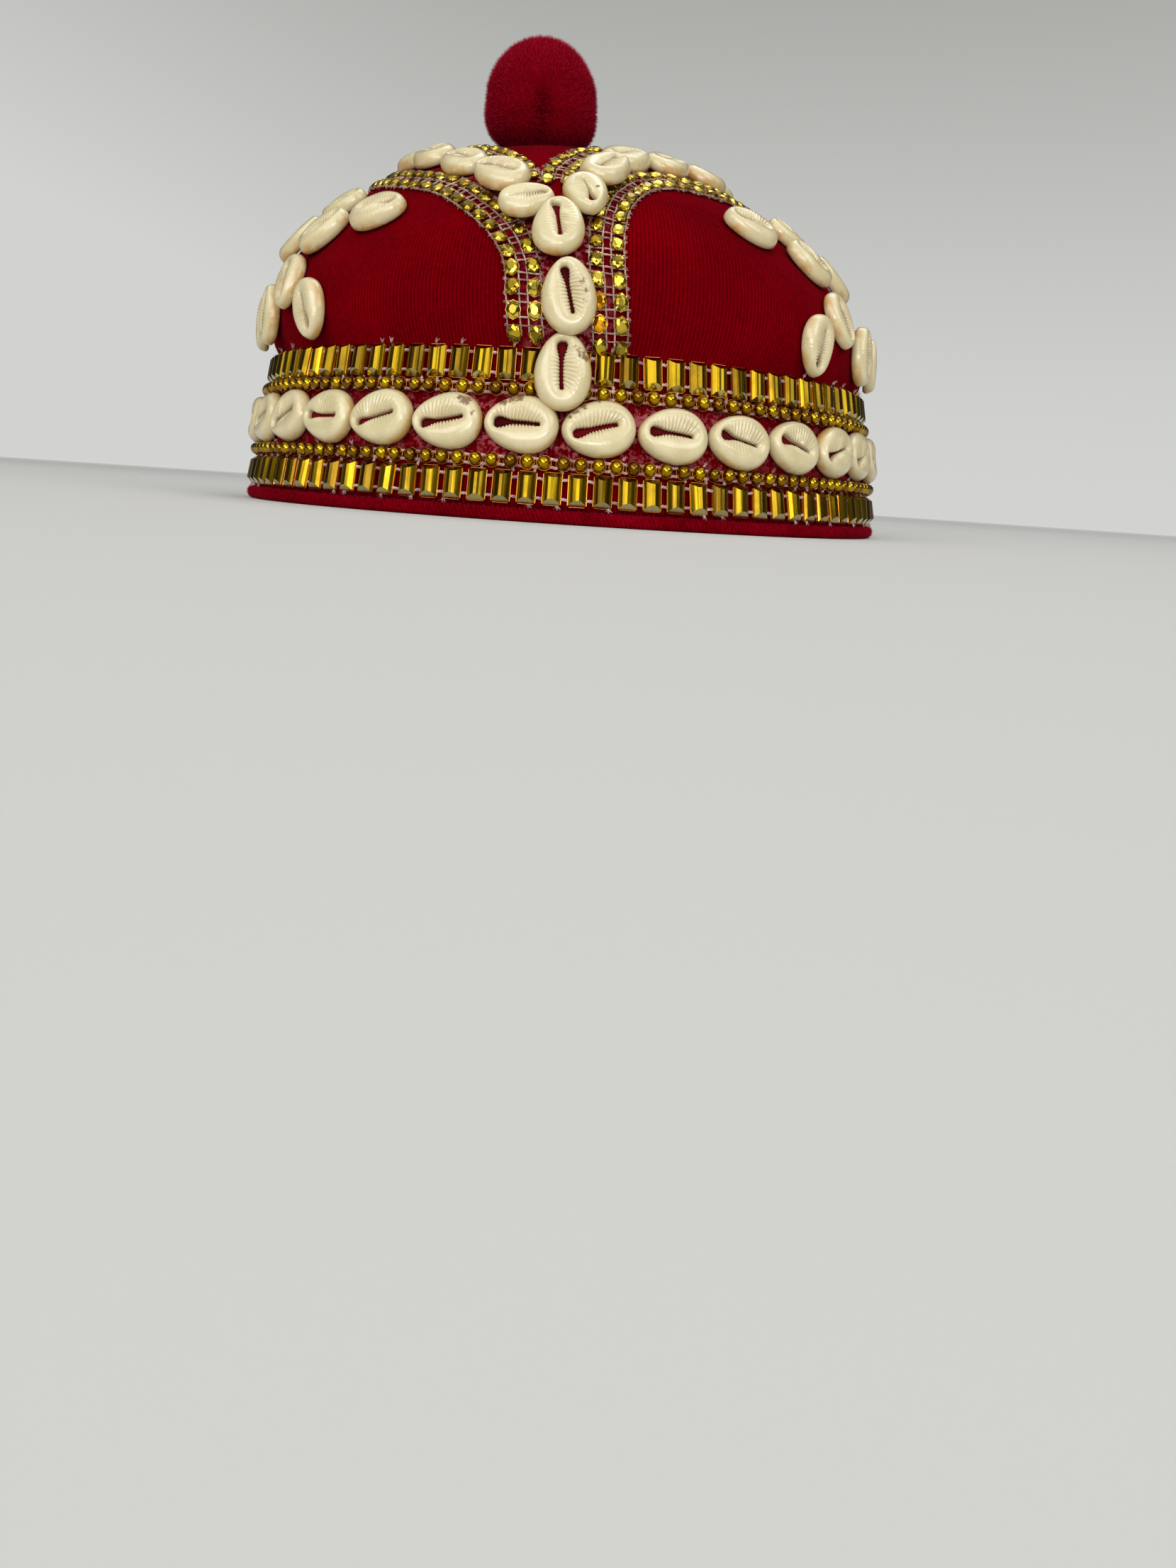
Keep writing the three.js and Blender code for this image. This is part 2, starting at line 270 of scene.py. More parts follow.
# Point in millimetres; azimuth in degrees, 0 in front and growing towards +X
def onWall(azimuth, climb, lift):
    angle = np.radians(azimuth)
    radius, height, outR, outZ = wallProfile(climb)
    radius = radius + outR * lift
    height = height + outZ * lift
    east = radius * np.sin(angle) + leanAt(height)
    return np.stack([east, -radius * np.cos(angle), height + 0 * angle], -1)


# Placement in metres: X east, Y up the wall, Z outwards, turned clockwise by turn degrees
def wallFrame(azimuth, climb, lift, turn=0.0):
    angle = math.radians(azimuth)
    _, _, outR, outZ = (float(v) for v in wallProfile(climb))
    out = Vector((outR * math.sin(angle), -outR * math.cos(angle), outZ))
    east = Vector((math.cos(angle), math.sin(angle), 0))
    up = out.cross(east)
    at = onWall(azimuth, climb, lift) * mm
    basis = Matrix((east, up, out)).transposed().to_4x4()
    return Matrix.Translation(at) @ basis @ Matrix.Rotation(-math.radians(turn), 4, "Z")


# Meshes and pieces


def gridFaces(rows, columns, closedRows=False):
    # faces between rows of points, each row a closed ring
    faces = []
    for r in range(rows if closedRows else rows - 1):
        for c in range(columns):
            d = (c + 1) % columns
            e = (r + 1) % rows
            faces.append((r * columns + c, r * columns + d, e * columns + d, e * columns + c))
    return faces


def cappedFaces(rows, columns):
    # the same with both ends closed
    faces = gridFaces(rows, columns)
    faces.append(tuple(reversed(range(columns))))
    faces.append(tuple((rows - 1) * columns + i for i in range(columns)))
    return faces


def newMesh(name, points, faces, smooth=True, scale=mm):
    mesh = bpy.data.meshes.new(name)
    mesh.from_pydata([tuple(p) for p in np.asarray(points, float) * scale], [], faces)
    mesh.polygons.foreach_set("use_smooth", [smooth] * len(mesh.polygons))
    mesh.update()
    return mesh


def newObject(name, mesh, finish=None):
    piece = bpy.data.objects.new(name, mesh)
    bpy.context.scene.collection.objects.link(piece)
    if finish is not None:
        mesh.materials.append(finish)
    return piece


def addUv(mesh, name, pairs, around):
    # one (u, v) per point; a face that spans the seam has its low side moved on by a whole turn
    pairs = np.asarray(pairs, float)
    corners = np.zeros(len(mesh.loops), dtype=int)
    mesh.loops.foreach_get("vertex_index", corners)
    values = pairs[corners]
    starts = np.array([face.loop_start for face in mesh.polygons])
    owner = np.repeat(np.arange(len(starts)), [face.loop_total for face in mesh.polygons])
    high = np.maximum.reduceat(values[:, 0], starts)[owner]
    values[:, 0] += np.where(high - values[:, 0] > around / 2, around, 0.0)
    layer = mesh.uv_layers.new(name=name)
    layer.data.foreach_set("uv", values.ravel())


def addValue(mesh, name, values):
    attribute = mesh.attributes.new(name, "FLOAT", "POINT")
    attribute.data.foreach_set("value", np.asarray(values, np.float32).ravel())


def addVector(mesh, name, values):
    attribute = mesh.attributes.new(name, "FLOAT_VECTOR", "POINT")
    attribute.data.foreach_set("vector", np.asarray(values, np.float32).ravel())


def asPiece(piece, slot, *nodes):
    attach(piece, "root")
    if nodes:
        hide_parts(*nodes)
    return piece


# Geometry trees


# A geometry tree with these named inputs, given as name: socket type, and their sockets by name
def newTree(name, inputs):
    tree = bpy.data.node_groups.new(name, "GeometryNodeTree")
    tree.interface.new_socket(name="Geometry", in_out="INPUT", socket_type="NodeSocketGeometry")
    for label, kind in inputs.items():
        tree.interface.new_socket(name=label, in_out="INPUT", socket_type="NodeSocket" + kind)
    tree.interface.new_socket(name="Geometry", in_out="OUTPUT", socket_type="NodeSocketGeometry")
    kit = NodeKit(tree)
    given = kit.node("NodeGroupInput")
    return tree, kit, {s.name: kit.num(given, s.identifier) for s in given.outputs if s.name}


def closeTree(kit, instances, finish):
    whole = kit.node("GeometryNodeRealizeInstances", None, {"Geometry": instances})
    painted = kit.node("GeometryNodeSetMaterial", None, {"Geometry": whole.outputs[0], "Material": finish})
    kit.node("NodeGroupOutput", None, {"Geometry": painted.outputs[0]})


# Runs a tree on the object base with these input values and returns its mesh as a new object
def grown(name, base, tree, values):
    modifier = base.modifiers.new("grow", "NODES")
    modifier.node_group = tree
    names = {item.name: item.identifier for item in tree.interface.items_tree if item.in_out == "INPUT"}
    for label, value in values.items():
        modifier[names[label]] = value
    depsgraph = bpy.context.evaluated_depsgraph_get()
    mesh = bpy.data.meshes.new_from_object(base.evaluated_get(depsgraph), depsgraph=depsgraph)
    base.modifiers.remove(modifier)
    mesh.name = name
    return newObject(name, mesh)


# Seeds of the draws that no input of a tree sets
treeSeeds = {"drift": 3, "size": 5, "tone": 7}


def randomNumber(kit, low, high, seed):
    made = kit.node(
        "FunctionNodeRandomValue",
        {"data_type": "FLOAT"},
        {"Min_001": low, "Max_001": high, "Seed": seed},
    )
    return kit.num(made, "Value_001")


# Turns each instance by a little, its own way, and stores a tone from 0 to 1 on it
def jittered(kit, instances, jitter, seed):
    low, high = (
        kit.node("ShaderNodeVectorMath", {"operation": "SCALE"}, {"Vector": (side,) * 3, "Scale": jitter})
        for side in (-1.0, 1.0)
    )
    twist = kit.node(
        "FunctionNodeRandomValue",
        {"data_type": "FLOAT_VECTOR"},
        {"Min": low.outputs[0], "Max": high.outputs[0], "Seed": seed},
    )
    turned = kit.node(
        "GeometryNodeRotateInstances",
        None,
        {"Instances": instances, "Rotation": twist.outputs["Value"], "Local Space": True},
    )
    tone = randomNumber(kit, 0.0, 1.0, treeSeeds["tone"])
    toned = kit.node(
        "GeometryNodeStoreNamedAttribute",
        {"data_type": "FLOAT", "domain": "INSTANCE"},
        {"Geometry": turned.outputs[0], "Name": "tone", "Value": tone},
    )
    return toned.outputs[0]


# Copies of one piece evenly round the tapered band
def makeRingTree():
    tree, kit, value = newTree("roundTheBand", {
        "Count": "Int",
        "First angle": "Float",
        "Radius": "Float",
        "Height": "Float",
        "Tilt": "Float",
        "Share": "Float",
        "Wander": "Float",
        "Jitter": "Float",
        "Seed": "Int",
        "Piece": "Object",
        "Finish": "Material",
    })
    step = 2 * math.pi / value["Count"]
    index = kit.num(kit.node("GeometryNodeInputIndex"))
    drift = randomNumber(kit, -1.0, 1.0, treeSeeds["drift"]) * value["Wander"]
    angle = value["First angle"] + (index + drift) * step
    place = kit.node("ShaderNodeCombineXYZ", None, {
        "X": value["Radius"] * angle.wave(),
        "Y": 0.0 - value["Radius"] * angle.cosWave(),
        "Z": value["Height"],
    })
    turn = kit.node("ShaderNodeCombineXYZ", None, {"X": math.pi / 2 - value["Tilt"], "Y": 0.0, "Z": angle})
    points = kit.node("GeometryNodePoints", None, {"Count": value["Count"], "Position": place.outputs[0]})
    kept = value["Share"].over(randomNumber(kit, 0.0, 1.0, value["Seed"]))
    shape = kit.node("GeometryNodeObjectInfo", None, {"Object": value["Piece"]})
    copies = kit.node("GeometryNodeInstanceOnPoints", None, {
        "Points": points.outputs[0],
        "Selection": kept,
        "Instance": shape.outputs["Geometry"],
        "Rotation": turn.outputs[0],
    })
    closeTree(kit, jittered(kit, copies.outputs[0], value["Jitter"], value["Seed"]), value["Finish"])
    return tree


# Copies of one piece at points that carry their own turn and size
def makeScatterTree():
    tree, kit, value = newTree("atStoredPlaces", {
        "Jitter": "Float",
        "Seed": "Int",
        "Piece": "Object",
        "Finish": "Material",
    })
    turn = kit.node("GeometryNodeInputNamedAttribute", {"data_type": "FLOAT_VECTOR"}, {"Name": "turn"})
    size = kit.node("GeometryNodeInputNamedAttribute", {"data_type": "FLOAT_VECTOR"}, {"Name": "grow"})
    shape = kit.node("GeometryNodeObjectInfo", None, {"Object": value["Piece"]})
    copies = kit.node("GeometryNodeInstanceOnPoints", None, {
        "Points": value["Geometry"],
        "Instance": shape.outputs["Geometry"],
        "Rotation": turn.outputs[0],
        "Scale": size.outputs[0],
    })
    closeTree(kit, jittered(kit, copies.outputs[0], value["Jitter"], value["Seed"]), value["Finish"])
    return tree


# Two thin strands twisted round each other along X
def makeTwistTree():
    tree, kit, value = newTree("twistedPair", {
        "Length": "Float",
        "Strand": "Float",
        "Offset": "Float",
        "Turns": "Float",
        "Steps": "Int",
        "Sides": "Int",
        "Finish": "Material",
    })
    half = value["Length"] * 0.5
    start = kit.node("ShaderNodeCombineXYZ", None, {"X": half * -1.0})
    end = kit.node("ShaderNodeCombineXYZ", None, {"X": half})
    line = kit.node("GeometryNodeCurvePrimitiveLine", None, {
        "Start": start.outputs[0],
        "End": end.outputs[0],
    })
    fine = kit.node("GeometryNodeResampleCurve", None, {
        "Curve": line.outputs[0],
        "Count": value["Steps"],
    })
    along = kit.num(kit.node("GeometryNodeSplineParameter"), "Factor")
    strands = []
    for phase in (0.0, math.pi):
        angle = along * value["Turns"] * (2 * math.pi) + phase
        aside = kit.node("ShaderNodeCombineXYZ", None, {
            "X": 0.0,
            "Y": angle.wave() * value["Offset"],
            "Z": angle.cosWave() * value["Offset"],
        })
        moved = kit.node("GeometryNodeSetPosition", None, {
            "Geometry": fine.outputs[0],
            "Offset": aside.outputs[0],
        })
        ring = kit.node("GeometryNodeCurvePrimitiveCircle", None, {
            "Resolution": value["Sides"],
            "Radius": value["Strand"],
        })
        tube = kit.node("GeometryNodeCurveToMesh", None, {
            "Curve": moved.outputs[0],
            "Profile Curve": ring.outputs[0],
            "Fill Caps": True,
        })
        strands.append(tube.outputs[0])
    both = kit.node("GeometryNodeJoinGeometry")
    for strand in strands:
        tree.links.new(strand, both.inputs[0])
    closeTree(kit, both.outputs[0], value["Finish"])
    return tree


# Short fibres standing on a surface, each leaning its own way
def makeFuzzTree():
    tree, kit, value = newTree("fuzz", {
        "Density": "Float",
        "Longest": "Float",
        "Lean": "Float",
        "Seed": "Int",
        "Piece": "Object",
        "Finish": "Material",
    })
    thick = kit.node("GeometryNodeInputNamedAttribute", {"data_type": "FLOAT"}, {"Name": "pile"})
    spread = kit.node("GeometryNodeDistributePointsOnFaces", None, {
        "Mesh": value["Geometry"],
        "Density": value["Density"] * kit.num(thick, 0),
        "Seed": value["Seed"],
    })
    shape = kit.node("GeometryNodeObjectInfo", None, {"Object": value["Piece"]})
    size = randomNumber(kit, 0.45, 1.0, treeSeeds["size"]) * value["Longest"]
    scale = kit.node("ShaderNodeCombineXYZ", None, {"X": size, "Y": size, "Z": size})
    copies = kit.node("GeometryNodeInstanceOnPoints", None, {
        "Points": spread.outputs["Points"],
        "Instance": shape.outputs["Geometry"],
        "Rotation": spread.outputs["Rotation"],
        "Scale": scale.outputs[0],
    })
    closeTree(kit, jittered(kit, copies.outputs[0], value["Lean"], value["Seed"]), value["Finish"])
    return tree


ringTree = makeRingTree()
scatterTree = makeScatterTree()
twistTree = makeTwistTree()
fuzzTree = makeFuzzTree()
seedPoint = newObject("seedPoint", newMesh("seedPoint", [(0, 0, 0)], []))
print("trees built")

# Finishes

velvetLook = {
    "dark": rgb(76, 0, 4),
    "body": rgb(125, 0, 11),
    "haze": rgb(178, 92, 100),
    "ribPitch": 1.05,
    "ribDepth": 0.00013,
    "ribShade": 0.22,
    "pileScale": 900.0,
    "patchScale": 45.0,
}


def velvetFinish(name, look, glued=False):
    material, kit, shader = newFinish(name, {
        "Specular IOR Level": 0.0,
        "Sheen Weight": 0.04,
        "Sheen Roughness": 0.35,
        "Sheen Tint": (1.0, 0.16, 0.26, 1.0),
    })
    point = kit.objectPoint()
    uv = kit.node("ShaderNodeUVMap", {"uv_map": "ribs"}).outputs[0]
    across = kit.num(kit.node("ShaderNodeSeparateXYZ", None, {0: uv}), "X")
    # painted shade: the grooves between the ribs are painted darker than their crests; the pile and patch
    # noise add random tone
    ridge = (across * (2 * math.pi / look["ribPitch"])).wave() * 0.5 + 0.5
    pile = kit.noise(point, look["pileScale"], 3.0, 0.65)
    patch = kit.noise(point, look["patchScale"], 3.0, 0.55)
    shade = (ridge * look["ribShade"] + pile * 0.5 + patch * 0.4).spread(0.3, 0.95)
    colour = kit.blend(shade, look["dark"], look["body"])
    rough = pile * 0.1 + 0.85
    if glued:
        smear = kit.stored("glue") * (kit.noise(point, 620.0, 4.0, 0.7)).spread(0.47, 0.6)
        colour = kit.blend(smear * 0.8, colour, look["haze"])
        rough = rough - smear * 0.3
    # painted shade: where the fold attribute is set, along the pompom's front crease, the colour is painted
    # dark
    colour = kit.blend(kit.stored("fold"), colour, look["dark"])
    height = ridge * 0.7 + pile * 0.9
    feed(kit, shader, colour=colour, rough=rough, normal=kit.bump(height, look["ribDepth"], 0.9))
    return material


liningLook = {"dark": rgb(9, 9, 12), "lint": rgb(52, 52, 58), "weave": 520.0}


def liningFinish(name, look):
    material, kit, shader = newFinish(name, {
        "Specular IOR Level": 0.15,
        "Sheen Weight": 0.25,
        "Sheen Roughness": 0.5,
    })
    point = kit.objectPoint()
    tuft = kit.noise(point, look["weave"], 4.0, 0.65)
    patch = kit.noise(point, 38.0, 2.0)
    colour = kit.blend((tuft * 0.7 + patch * 0.4).spread(0.42, 0.8), look["dark"], look["lint"])
    feed(kit, shader, colour=colour, rough=tuft * 0.12 + 0.86, normal=kit.bump(tuft, 0.0004, 0.8))
    return material


shellLook = {
    "cream": rgb(200, 187, 142),
    "pale": rgb(214, 203, 162),
    "warm": rgb(184, 136, 58),
    "blush": rgb(228, 198, 170),
    "brown": rgb(104, 64, 18),
    "inside": rgb(196, 172, 138),
}


def shellFinish(name, look):
    material, kit, shader = newFinish(name, {
        "Specular IOR Level": 0.5,
        "Coat Roughness": 0.12,
        "Subsurface Radius": (0.0022, 0.0014, 0.0008),
        "Subsurface Weight": 0.04,
        "Subsurface Scale": 1.0,
    })
    point = kit.objectPoint()
    edge = kit.stored("edge")
    stain = kit.stored("stain")
    tone = kit.stored("tone")
    cloud = kit.noise(point, 160.0, 3.0, 0.55)
    fine = kit.noise(point, 900.0, 3.0, 0.6)
    speck = kit.noise(point, 1500.0, 4.0, 0.7)
    colour = kit.blend(cloud.spread(0.3, 0.7), look["cream"], look["pale"])
    colour = kit.blend(tone * 0.12, colour, look["blush"])
    colour = kit.blend(edge.spread(0.82, 1.02) * cloud.spread(0.38, 0.62) * 0.85, colour, look["warm"])
    colour = kit.blend(edge.spread(0.06, 0.0) * 0.55, colour, look["inside"])
    spots = (stain * 0.85 + speck * 1.4).spread(1.1, 1.42)
    halo = (stain * 0.7 + cloud * 0.8).spread(0.8, 1.4)
    brown = (spots + halo * 0.35).spread(0.0, 1.0)
    colour = kit.blend(brown * 0.85, colour, look["brown"])
    # painted shade: the grooves between the lip's ridges are painted in the darker inside tone
    colour = kit.blend(kit.stored("grooveShade") * 0.4, colour, look["inside"])
    freckle = kit.noise(point, 700.0, 2.0).spread(0.74, 0.8) * 0.25
    colour = kit.blend(freckle, colour, look["warm"])
    feed(
        kit, shader,
        colour=colour,
        rough=fine * 0.12 + brown * 0.3 + 0.2,
        coat=0.55 - brown * 0.4,
        normal=kit.bump(fine * 0.5 + cloud * 0.6, 0.00012, 0.35),
    )
    return material


def goldFinish(name, light, deep, rough, dent=0.02, wear=0.3, cut=0.0, facetShadeTone=rgb(86, 68, 4)):
    material, kit, shader = newFinish(name, {"Specular IOR Level": 0.6, "Coat Roughness": 0.08})
    point = kit.objectPoint()
    tone = kit.stored("tone")
    scuff = kit.noise(point, 1300.0, 4.0, 0.7)
    cloud = kit.noise(point, 260.0, 2.0)
    colour = kit.blend((tone * 0.6 + cloud * 0.5).spread(0.2, 0.9), light, deep)
    # painted reflection: the bar's slanted foot end is painted pale
    colour = kit.blend(kit.stored("bevelReflection") * 0.6, colour, rgb(206, 202, 150))
    if cut:
        # painted reflection and shade: cells under the face are painted darker, as if facets caught the
        # light each in their own way
        cell = kit.node(
            "ShaderNodeTexVoronoi",
            {"voronoi_dimensions": "3D"},
            {"Vector": point, "Scale": cut},
        )
        facetShade = kit.num(kit.node("ShaderNodeSeparateXYZ", None, {0: cell.outputs["Color"]}), "X")
        colour = kit.blend(facetShade.spread(0.4, 0.8) * 0.8, colour, facetShadeTone)
    dull = scuff.spread(0.55, 0.85) * wear
    feed(
        kit, shader,
        colour=colour,
        rough=dull * 0.3 + cloud * 0.06 + rough,
        metal=1.0 - dull * 0.15,
        coat=0.16 - dull * 0.5,
        normal=kit.bump(cloud, 0.00006, dent),
    )
    return material


def threadFinish(name, pale, deep, gloss=0.25, sheen=0.3):
    material, kit, shader = newFinish(name, {"Specular IOR Level": gloss, "Sheen Weight": sheen})
    point = kit.objectPoint()
    fray = kit.noise(point, 2600.0, 3.0, 0.7)
    tone = kit.stored("tone")
    colour = kit.blend((fray * 0.8 + tone * 0.5).spread(0.3, 0.95), pale, deep)
    feed(kit, shader, colour=colour, rough=fray * 0.2 + 0.65, normal=kit.bump(fray, 0.00008, 0.6))
    return material


# the rim's body is painted lighter than the crown velvet's, a painted sheen for the light the rolled rim
# catches
rimLook = {**velvetLook, "ribShade": 0.12, "ribDepth": 0.00006, "body": rgb(152, 3, 26)}
# the pompom's body is painted a little lighter than the crown velvet's, painted light that brightens the
# ball
pompomLook = {**velvetLook, "ribPitch": 1.6, "ribDepth": 0.00008, "body": rgb(132, 2, 18)}
velvet = velvetFinish("crimsonVelvet", velvetLook, glued=True)
rimVelvet = velvetFinish("rimVelvet", rimLook)
ballVelvet = velvetFinish("pompomVelvet", pompomLook)
black = liningFinish("blackLining", liningLook)
ivory = shellFinish("cowrieShell", shellLook)
gold = goldFinish("goldBead", rgb(158, 128, 10), rgb(102, 76, 3), 0.14, dent=0.0, wear=0.0)
amber = goldFinish("amberFrame", rgb(206, 138, 38), rgb(170, 96, 24), 0.2, dent=0.0, wear=0.05)
ballGold = goldFinish("goldBall", rgb(186, 148, 12), rgb(118, 80, 4), 0.06, dent=0.0, wear=0.1)
foil = goldFinish(
    "rhinestoneFoil", rgb(238, 210, 80), rgb(200, 166, 36), 0.06,
    dent=0.0, wear=0.05, cut=520.0,
)
cupGold = goldFinish("cupGold", rgb(194, 160, 70), rgb(142, 106, 44), 0.25)
thread = threadFinish("paleThread", rgb(222, 188, 178), rgb(168, 122, 114))
netThread = threadFinish("netThread", rgb(204, 174, 156), rgb(138, 102, 88), 0.2, 0.0)
fuzzRed = threadFinish("velvetFibre", rgb(178, 26, 58), rgb(122, 3, 24), 0.02, 0.0)
amberFoil = goldFinish(
    "amberStone", rgb(246, 180, 34), rgb(226, 148, 18), 0.1,
    wear=0.1, cut=760.0, facetShadeTone=rgb(168, 104, 10),
)
plugVelvet = threadFinish("gluedCloth", rgb(122, 6, 18), rgb(58, 0, 6), 0.1, 0.0)
print("finishes built")

# Where the cowries sit. Columns: azimuth, climb, turn of the narrow end, length, lift, slit turn.

# lifts off the velvet, in millimetres
onCloth = 0.3
onTrim = 2.9
onStrip = 2.7
singleCowries = {
    "front_cowrie": [
        (-0.8, -6.6, 0, 18.6, onTrim, 2),
        (0.2, 10.9, -6, 17.6, onStrip, 9),
        (-1.2, 27, 2, 17.0, onStrip, 13),
    ],
    "crown_cowrie": [
        (-6.6, 35.3, 78, 14, onStrip, 6),
        (3.8, 39.5, 172, 15, onStrip, 8),
        (-12.3, 46, -62, 16, onStrip, 10),
        (-25.4, 59.5, -60, 15.8, onCloth, 0),
        (-42, 68.5, -66, 16, onCloth, 6),
        (9, 52.5, 42, 15.4, onStrip, 4),
        (18, 68.7, 58, 16, onCloth, 0),
        (35, 73, 68, 16, onCloth, -5),
    ],
    "left_cowrie": [
        (-37, 36, 80, 17, onCloth, 0),
        (-51, 31.5, 56, 17, onCloth, 5),
        (-54, 43.2, 62, 15, onCloth, 0),
        (-66, 33, 42, 17, onCloth, -6),
        (-55, 16.5, 170, 15.5, onCloth, 12),
        (-46.5, 8.8, 162, 15.8, onCloth, 10),
        (-64, 9.6, 8, 16, onCloth, 0),
        (-77, 9.4, 12, 15.5, onCloth, 6),
    ],
    "right_cowrie": [
        (40, 41.5, -76, 17, onCloth, 0),
        (55, 34, -58, 17, onCloth, -4),
        (58, 45.5, -66, 15, onCloth, 0),
        (70, 33.5, -46, 17, onCloth, 5),
        (54, 16.5, 166, 15.5, onCloth, 8),
        (44.5, 8.4, 186, 15.8, onCloth, -8),
        (63, 9.4, -6, 16, onCloth, 0),
        (76, 9.4, -12, 15.5, onCloth, 4),
    ],
}
backRing = {"from": 56, "to": 300, "count": 12, "length": 16.5, "climb": 72, "pull": 5}
singleCowries["back_cowrie"] = [
    (
        azimuth,
        backRing["climb"] - backRing["pull"] * math.cos(math.radians(2 * azimuth)),
        90,
        backRing["length"],
        onCloth,
        6 * (-1) ** i,
    )
    for i, azimuth in enumerate(np.linspace(backRing["from"], backRing["to"], backRing["count"]))
]

# A slit's turn is shared out between the whole shell and the slit itself
bandCowries = {
    "height": 22.3,
    "count": 32,
    "firstAzimuth": -6.3,
    "length": 18.4,
    "width": 13.7,
    "slitRange": (-16, 18),
    "shellShare": 0.35,
    "slitShare": 0.65,
    "sizes": (0.985, 1.0),
    "placeSeed": 500,
    "shellSeed": 100,
    "rows": {"front": (-4, 10), "right": (6, 6), "back": (12, 10), "left": (22, 6)},
}
# Turn of single slits in degrees, by the shell's place from the front; the others are random
bandSlits = {-5: 20, -4: 25, -3: 0, -2: 17, -1: 12, 0: 0, 1: 17, 2: -4, 3: -13, 4: -16, 5: 18, 6: 22}

# Brown marks on single shells: x and y as shares of width and length, radius in millimetres, strength
shellMarks = {
    "band_-1": [
        (0.30, -0.30, 2.1, 0.95),
        (0.36, -0.22, 1.2, 0.9),
        (0.06, -0.40, 0.8, 0.9),
        (0.12, -0.43, 0.6, 0.8),
    ],
    "band_0": [
        (0.33, 0.24, 1.8, 0.85),
        (0.38, 0.12, 1.8, 0.85),
        (0.42, 0.02, 1.5, 0.95),
        (0.37, -0.16, 1.4, 0.6),
    ],
    "band_1": [
        (0.30, 0.30, 1.8, 0.75),
        (0.38, 0.20, 1.6, 0.8),
        (0.22, 0.38, 1.0, 0.8),
        (0.46, -0.02, 0.7, 1.0),
    ],
    "band_-3": [(0.30, 0.30, 1.0, 0.5), (-0.15, 0.2, 0.8, 0.4)],
    "band_4": [(0.1, -0.35, 1.0, 0.5)],
    "front_cowrie_1": [
        (0.32, 0.20, 2.4, 0.75),
        (0.20, 0.26, 1.9, 0.6),
        (-0.36, -0.26, 2.4, 0.3),
        (0.4, 0.14, 1.1, 1.0),
    ],
    "front_cowrie_2": [(0.25, 0.14, 1.6, 0.75), (0.3, 0.02, 1.5, 0.75), (0.27, -0.12, 1.4, 0.65)],
    "crown_cowrie_2": [(-0.22, 0.05, 0.9, 1.0)],
    "left_cowrie_2": [(0.2, 0.2, 1.2, 0.3)],
}

# The velvet wall, its lining and the rolled rim

velvetWall = {
    "columns": 288,
    "outerRows": 74,
    "innerRows": 16,
    "bottom": 3.6,
    "topGap": 1.2,
    "thick": 2.0,
    "ease": 0.25,
    "easeScale": 0.06,
    "easeSeed": 4,
    "easeFrom": 20,
}
liningWall = {
    "columns": 144,
    "outerRows": 26,
    "innerRows": 30,
    "bottom": 3.6,
    "topGap": 1.2,
    "outside": 2.5,
    "inside": 3.3,
}
# Lean of the ribs: its start, full and end in degrees, the fade before its end, and its slope
ribShear = {"start": -10.0, "full": 50.0, "end": 150.0, "fade": 40.0, "slope": 0.45, "radius": 92.0}
# Glue round the shells: its reach against a shell's half size, and its loss away from the front
glueReach = {"band": 1.42, "crown_cowrie": 1.22, "front_cowrie": 1.75}
glueSpread = {"halfWidth": 0.37, "full": 16.0, "fade": 16.0, "loss": 0.65}


def wallSolid(spec, outerDepth, innerDepth):
    # closed wall of two skins, each ending in one point at the crown's middle
    columns = spec["columns"]
    azimuths = np.arange(columns) * 360 / columns
    bottom = climbAt(spec["bottom"])
    top = crownLength - spec["topGap"]
    outer = np.linspace(bottom, top, spec["outerRows"])
    inner = np.linspace(bottom, top, spec["innerRows"])
    rows = [onWall(azimuths, climb, -outerDepth) for climb in outer]
    rows += [onWall(azimuths, climb, -innerDepth) for climb in inner]
    poles = [onWall(0.0, crownLength, -outerDepth), onWall(0.0, crownLength, -innerDepth)]
    points = np.concatenate(rows + [np.array(poles)])
    first = len(outer) * columns
    faces = gridFaces(len(outer), columns)
    faces += [tuple(first + v for v in reversed(face)) for face in gridFaces(len(inner), columns)]
    outerPole = len(points) - 2
    innerPole = len(points) - 1
    for c in range(columns):
        d = (c + 1) % columns
        faces.append((first + c, first + d, d, c))
        last = (len(outer) - 1) * columns
        faces.append((last + c, last + d, outerPole))
        last = first + (len(inner) - 1) * columns
        faces.append((last + d, last + c, innerPole))
    azimuth = np.concatenate([np.tile(azimuths, len(outer) + len(inner)), [0, 0]])
    climb = np.concatenate([np.repeat(outer, columns), np.repeat(inner, columns), [crownLength] * 2])
    outside = np.concatenate([np.ones(first), np.zeros(len(inner) * columns), [1, 0]])
    return points, faces, azimuth, climb, outside


def signedAzimuth(azimuth):
    return (np.asarray(azimuth, float) + 180) % 360 - 180


def ribPlace(azimuth, climb):
    # millimetres across the ribs, which lean outwards on one side of the front
    signed = signedAzimuth(azimuth)
    lean = np.clip((signed - ribShear["start"]) / (ribShear["full"] - ribShear["start"]), 0, 1)
    fade = np.clip((ribShear["end"] - signed) / ribShear["fade"], 0, 1)
    return ribShear["radius"] * np.radians(signed) - ribShear["slope"] * lean * fade * np.maximum(climb, 0)


def softNoise(points, scale, seed, waves=6):
    # the mean of a few sine waves that run in random directions
    rng = np.random.default_rng(seed)
    total = np.zeros(len(points))
    for _ in range(waves):
        direction = rng.normal(size=3)
        direction /= np.linalg.norm(direction)
        total += np.sin(points @ direction * scale * rng.uniform(0.6, 1.6) + rng.uniform(0, 6.28))
    return total / waves


def bandAzimuth(index):
    return bandCowries["firstAzimuth"] + 360 / bandCowries["count"] * index


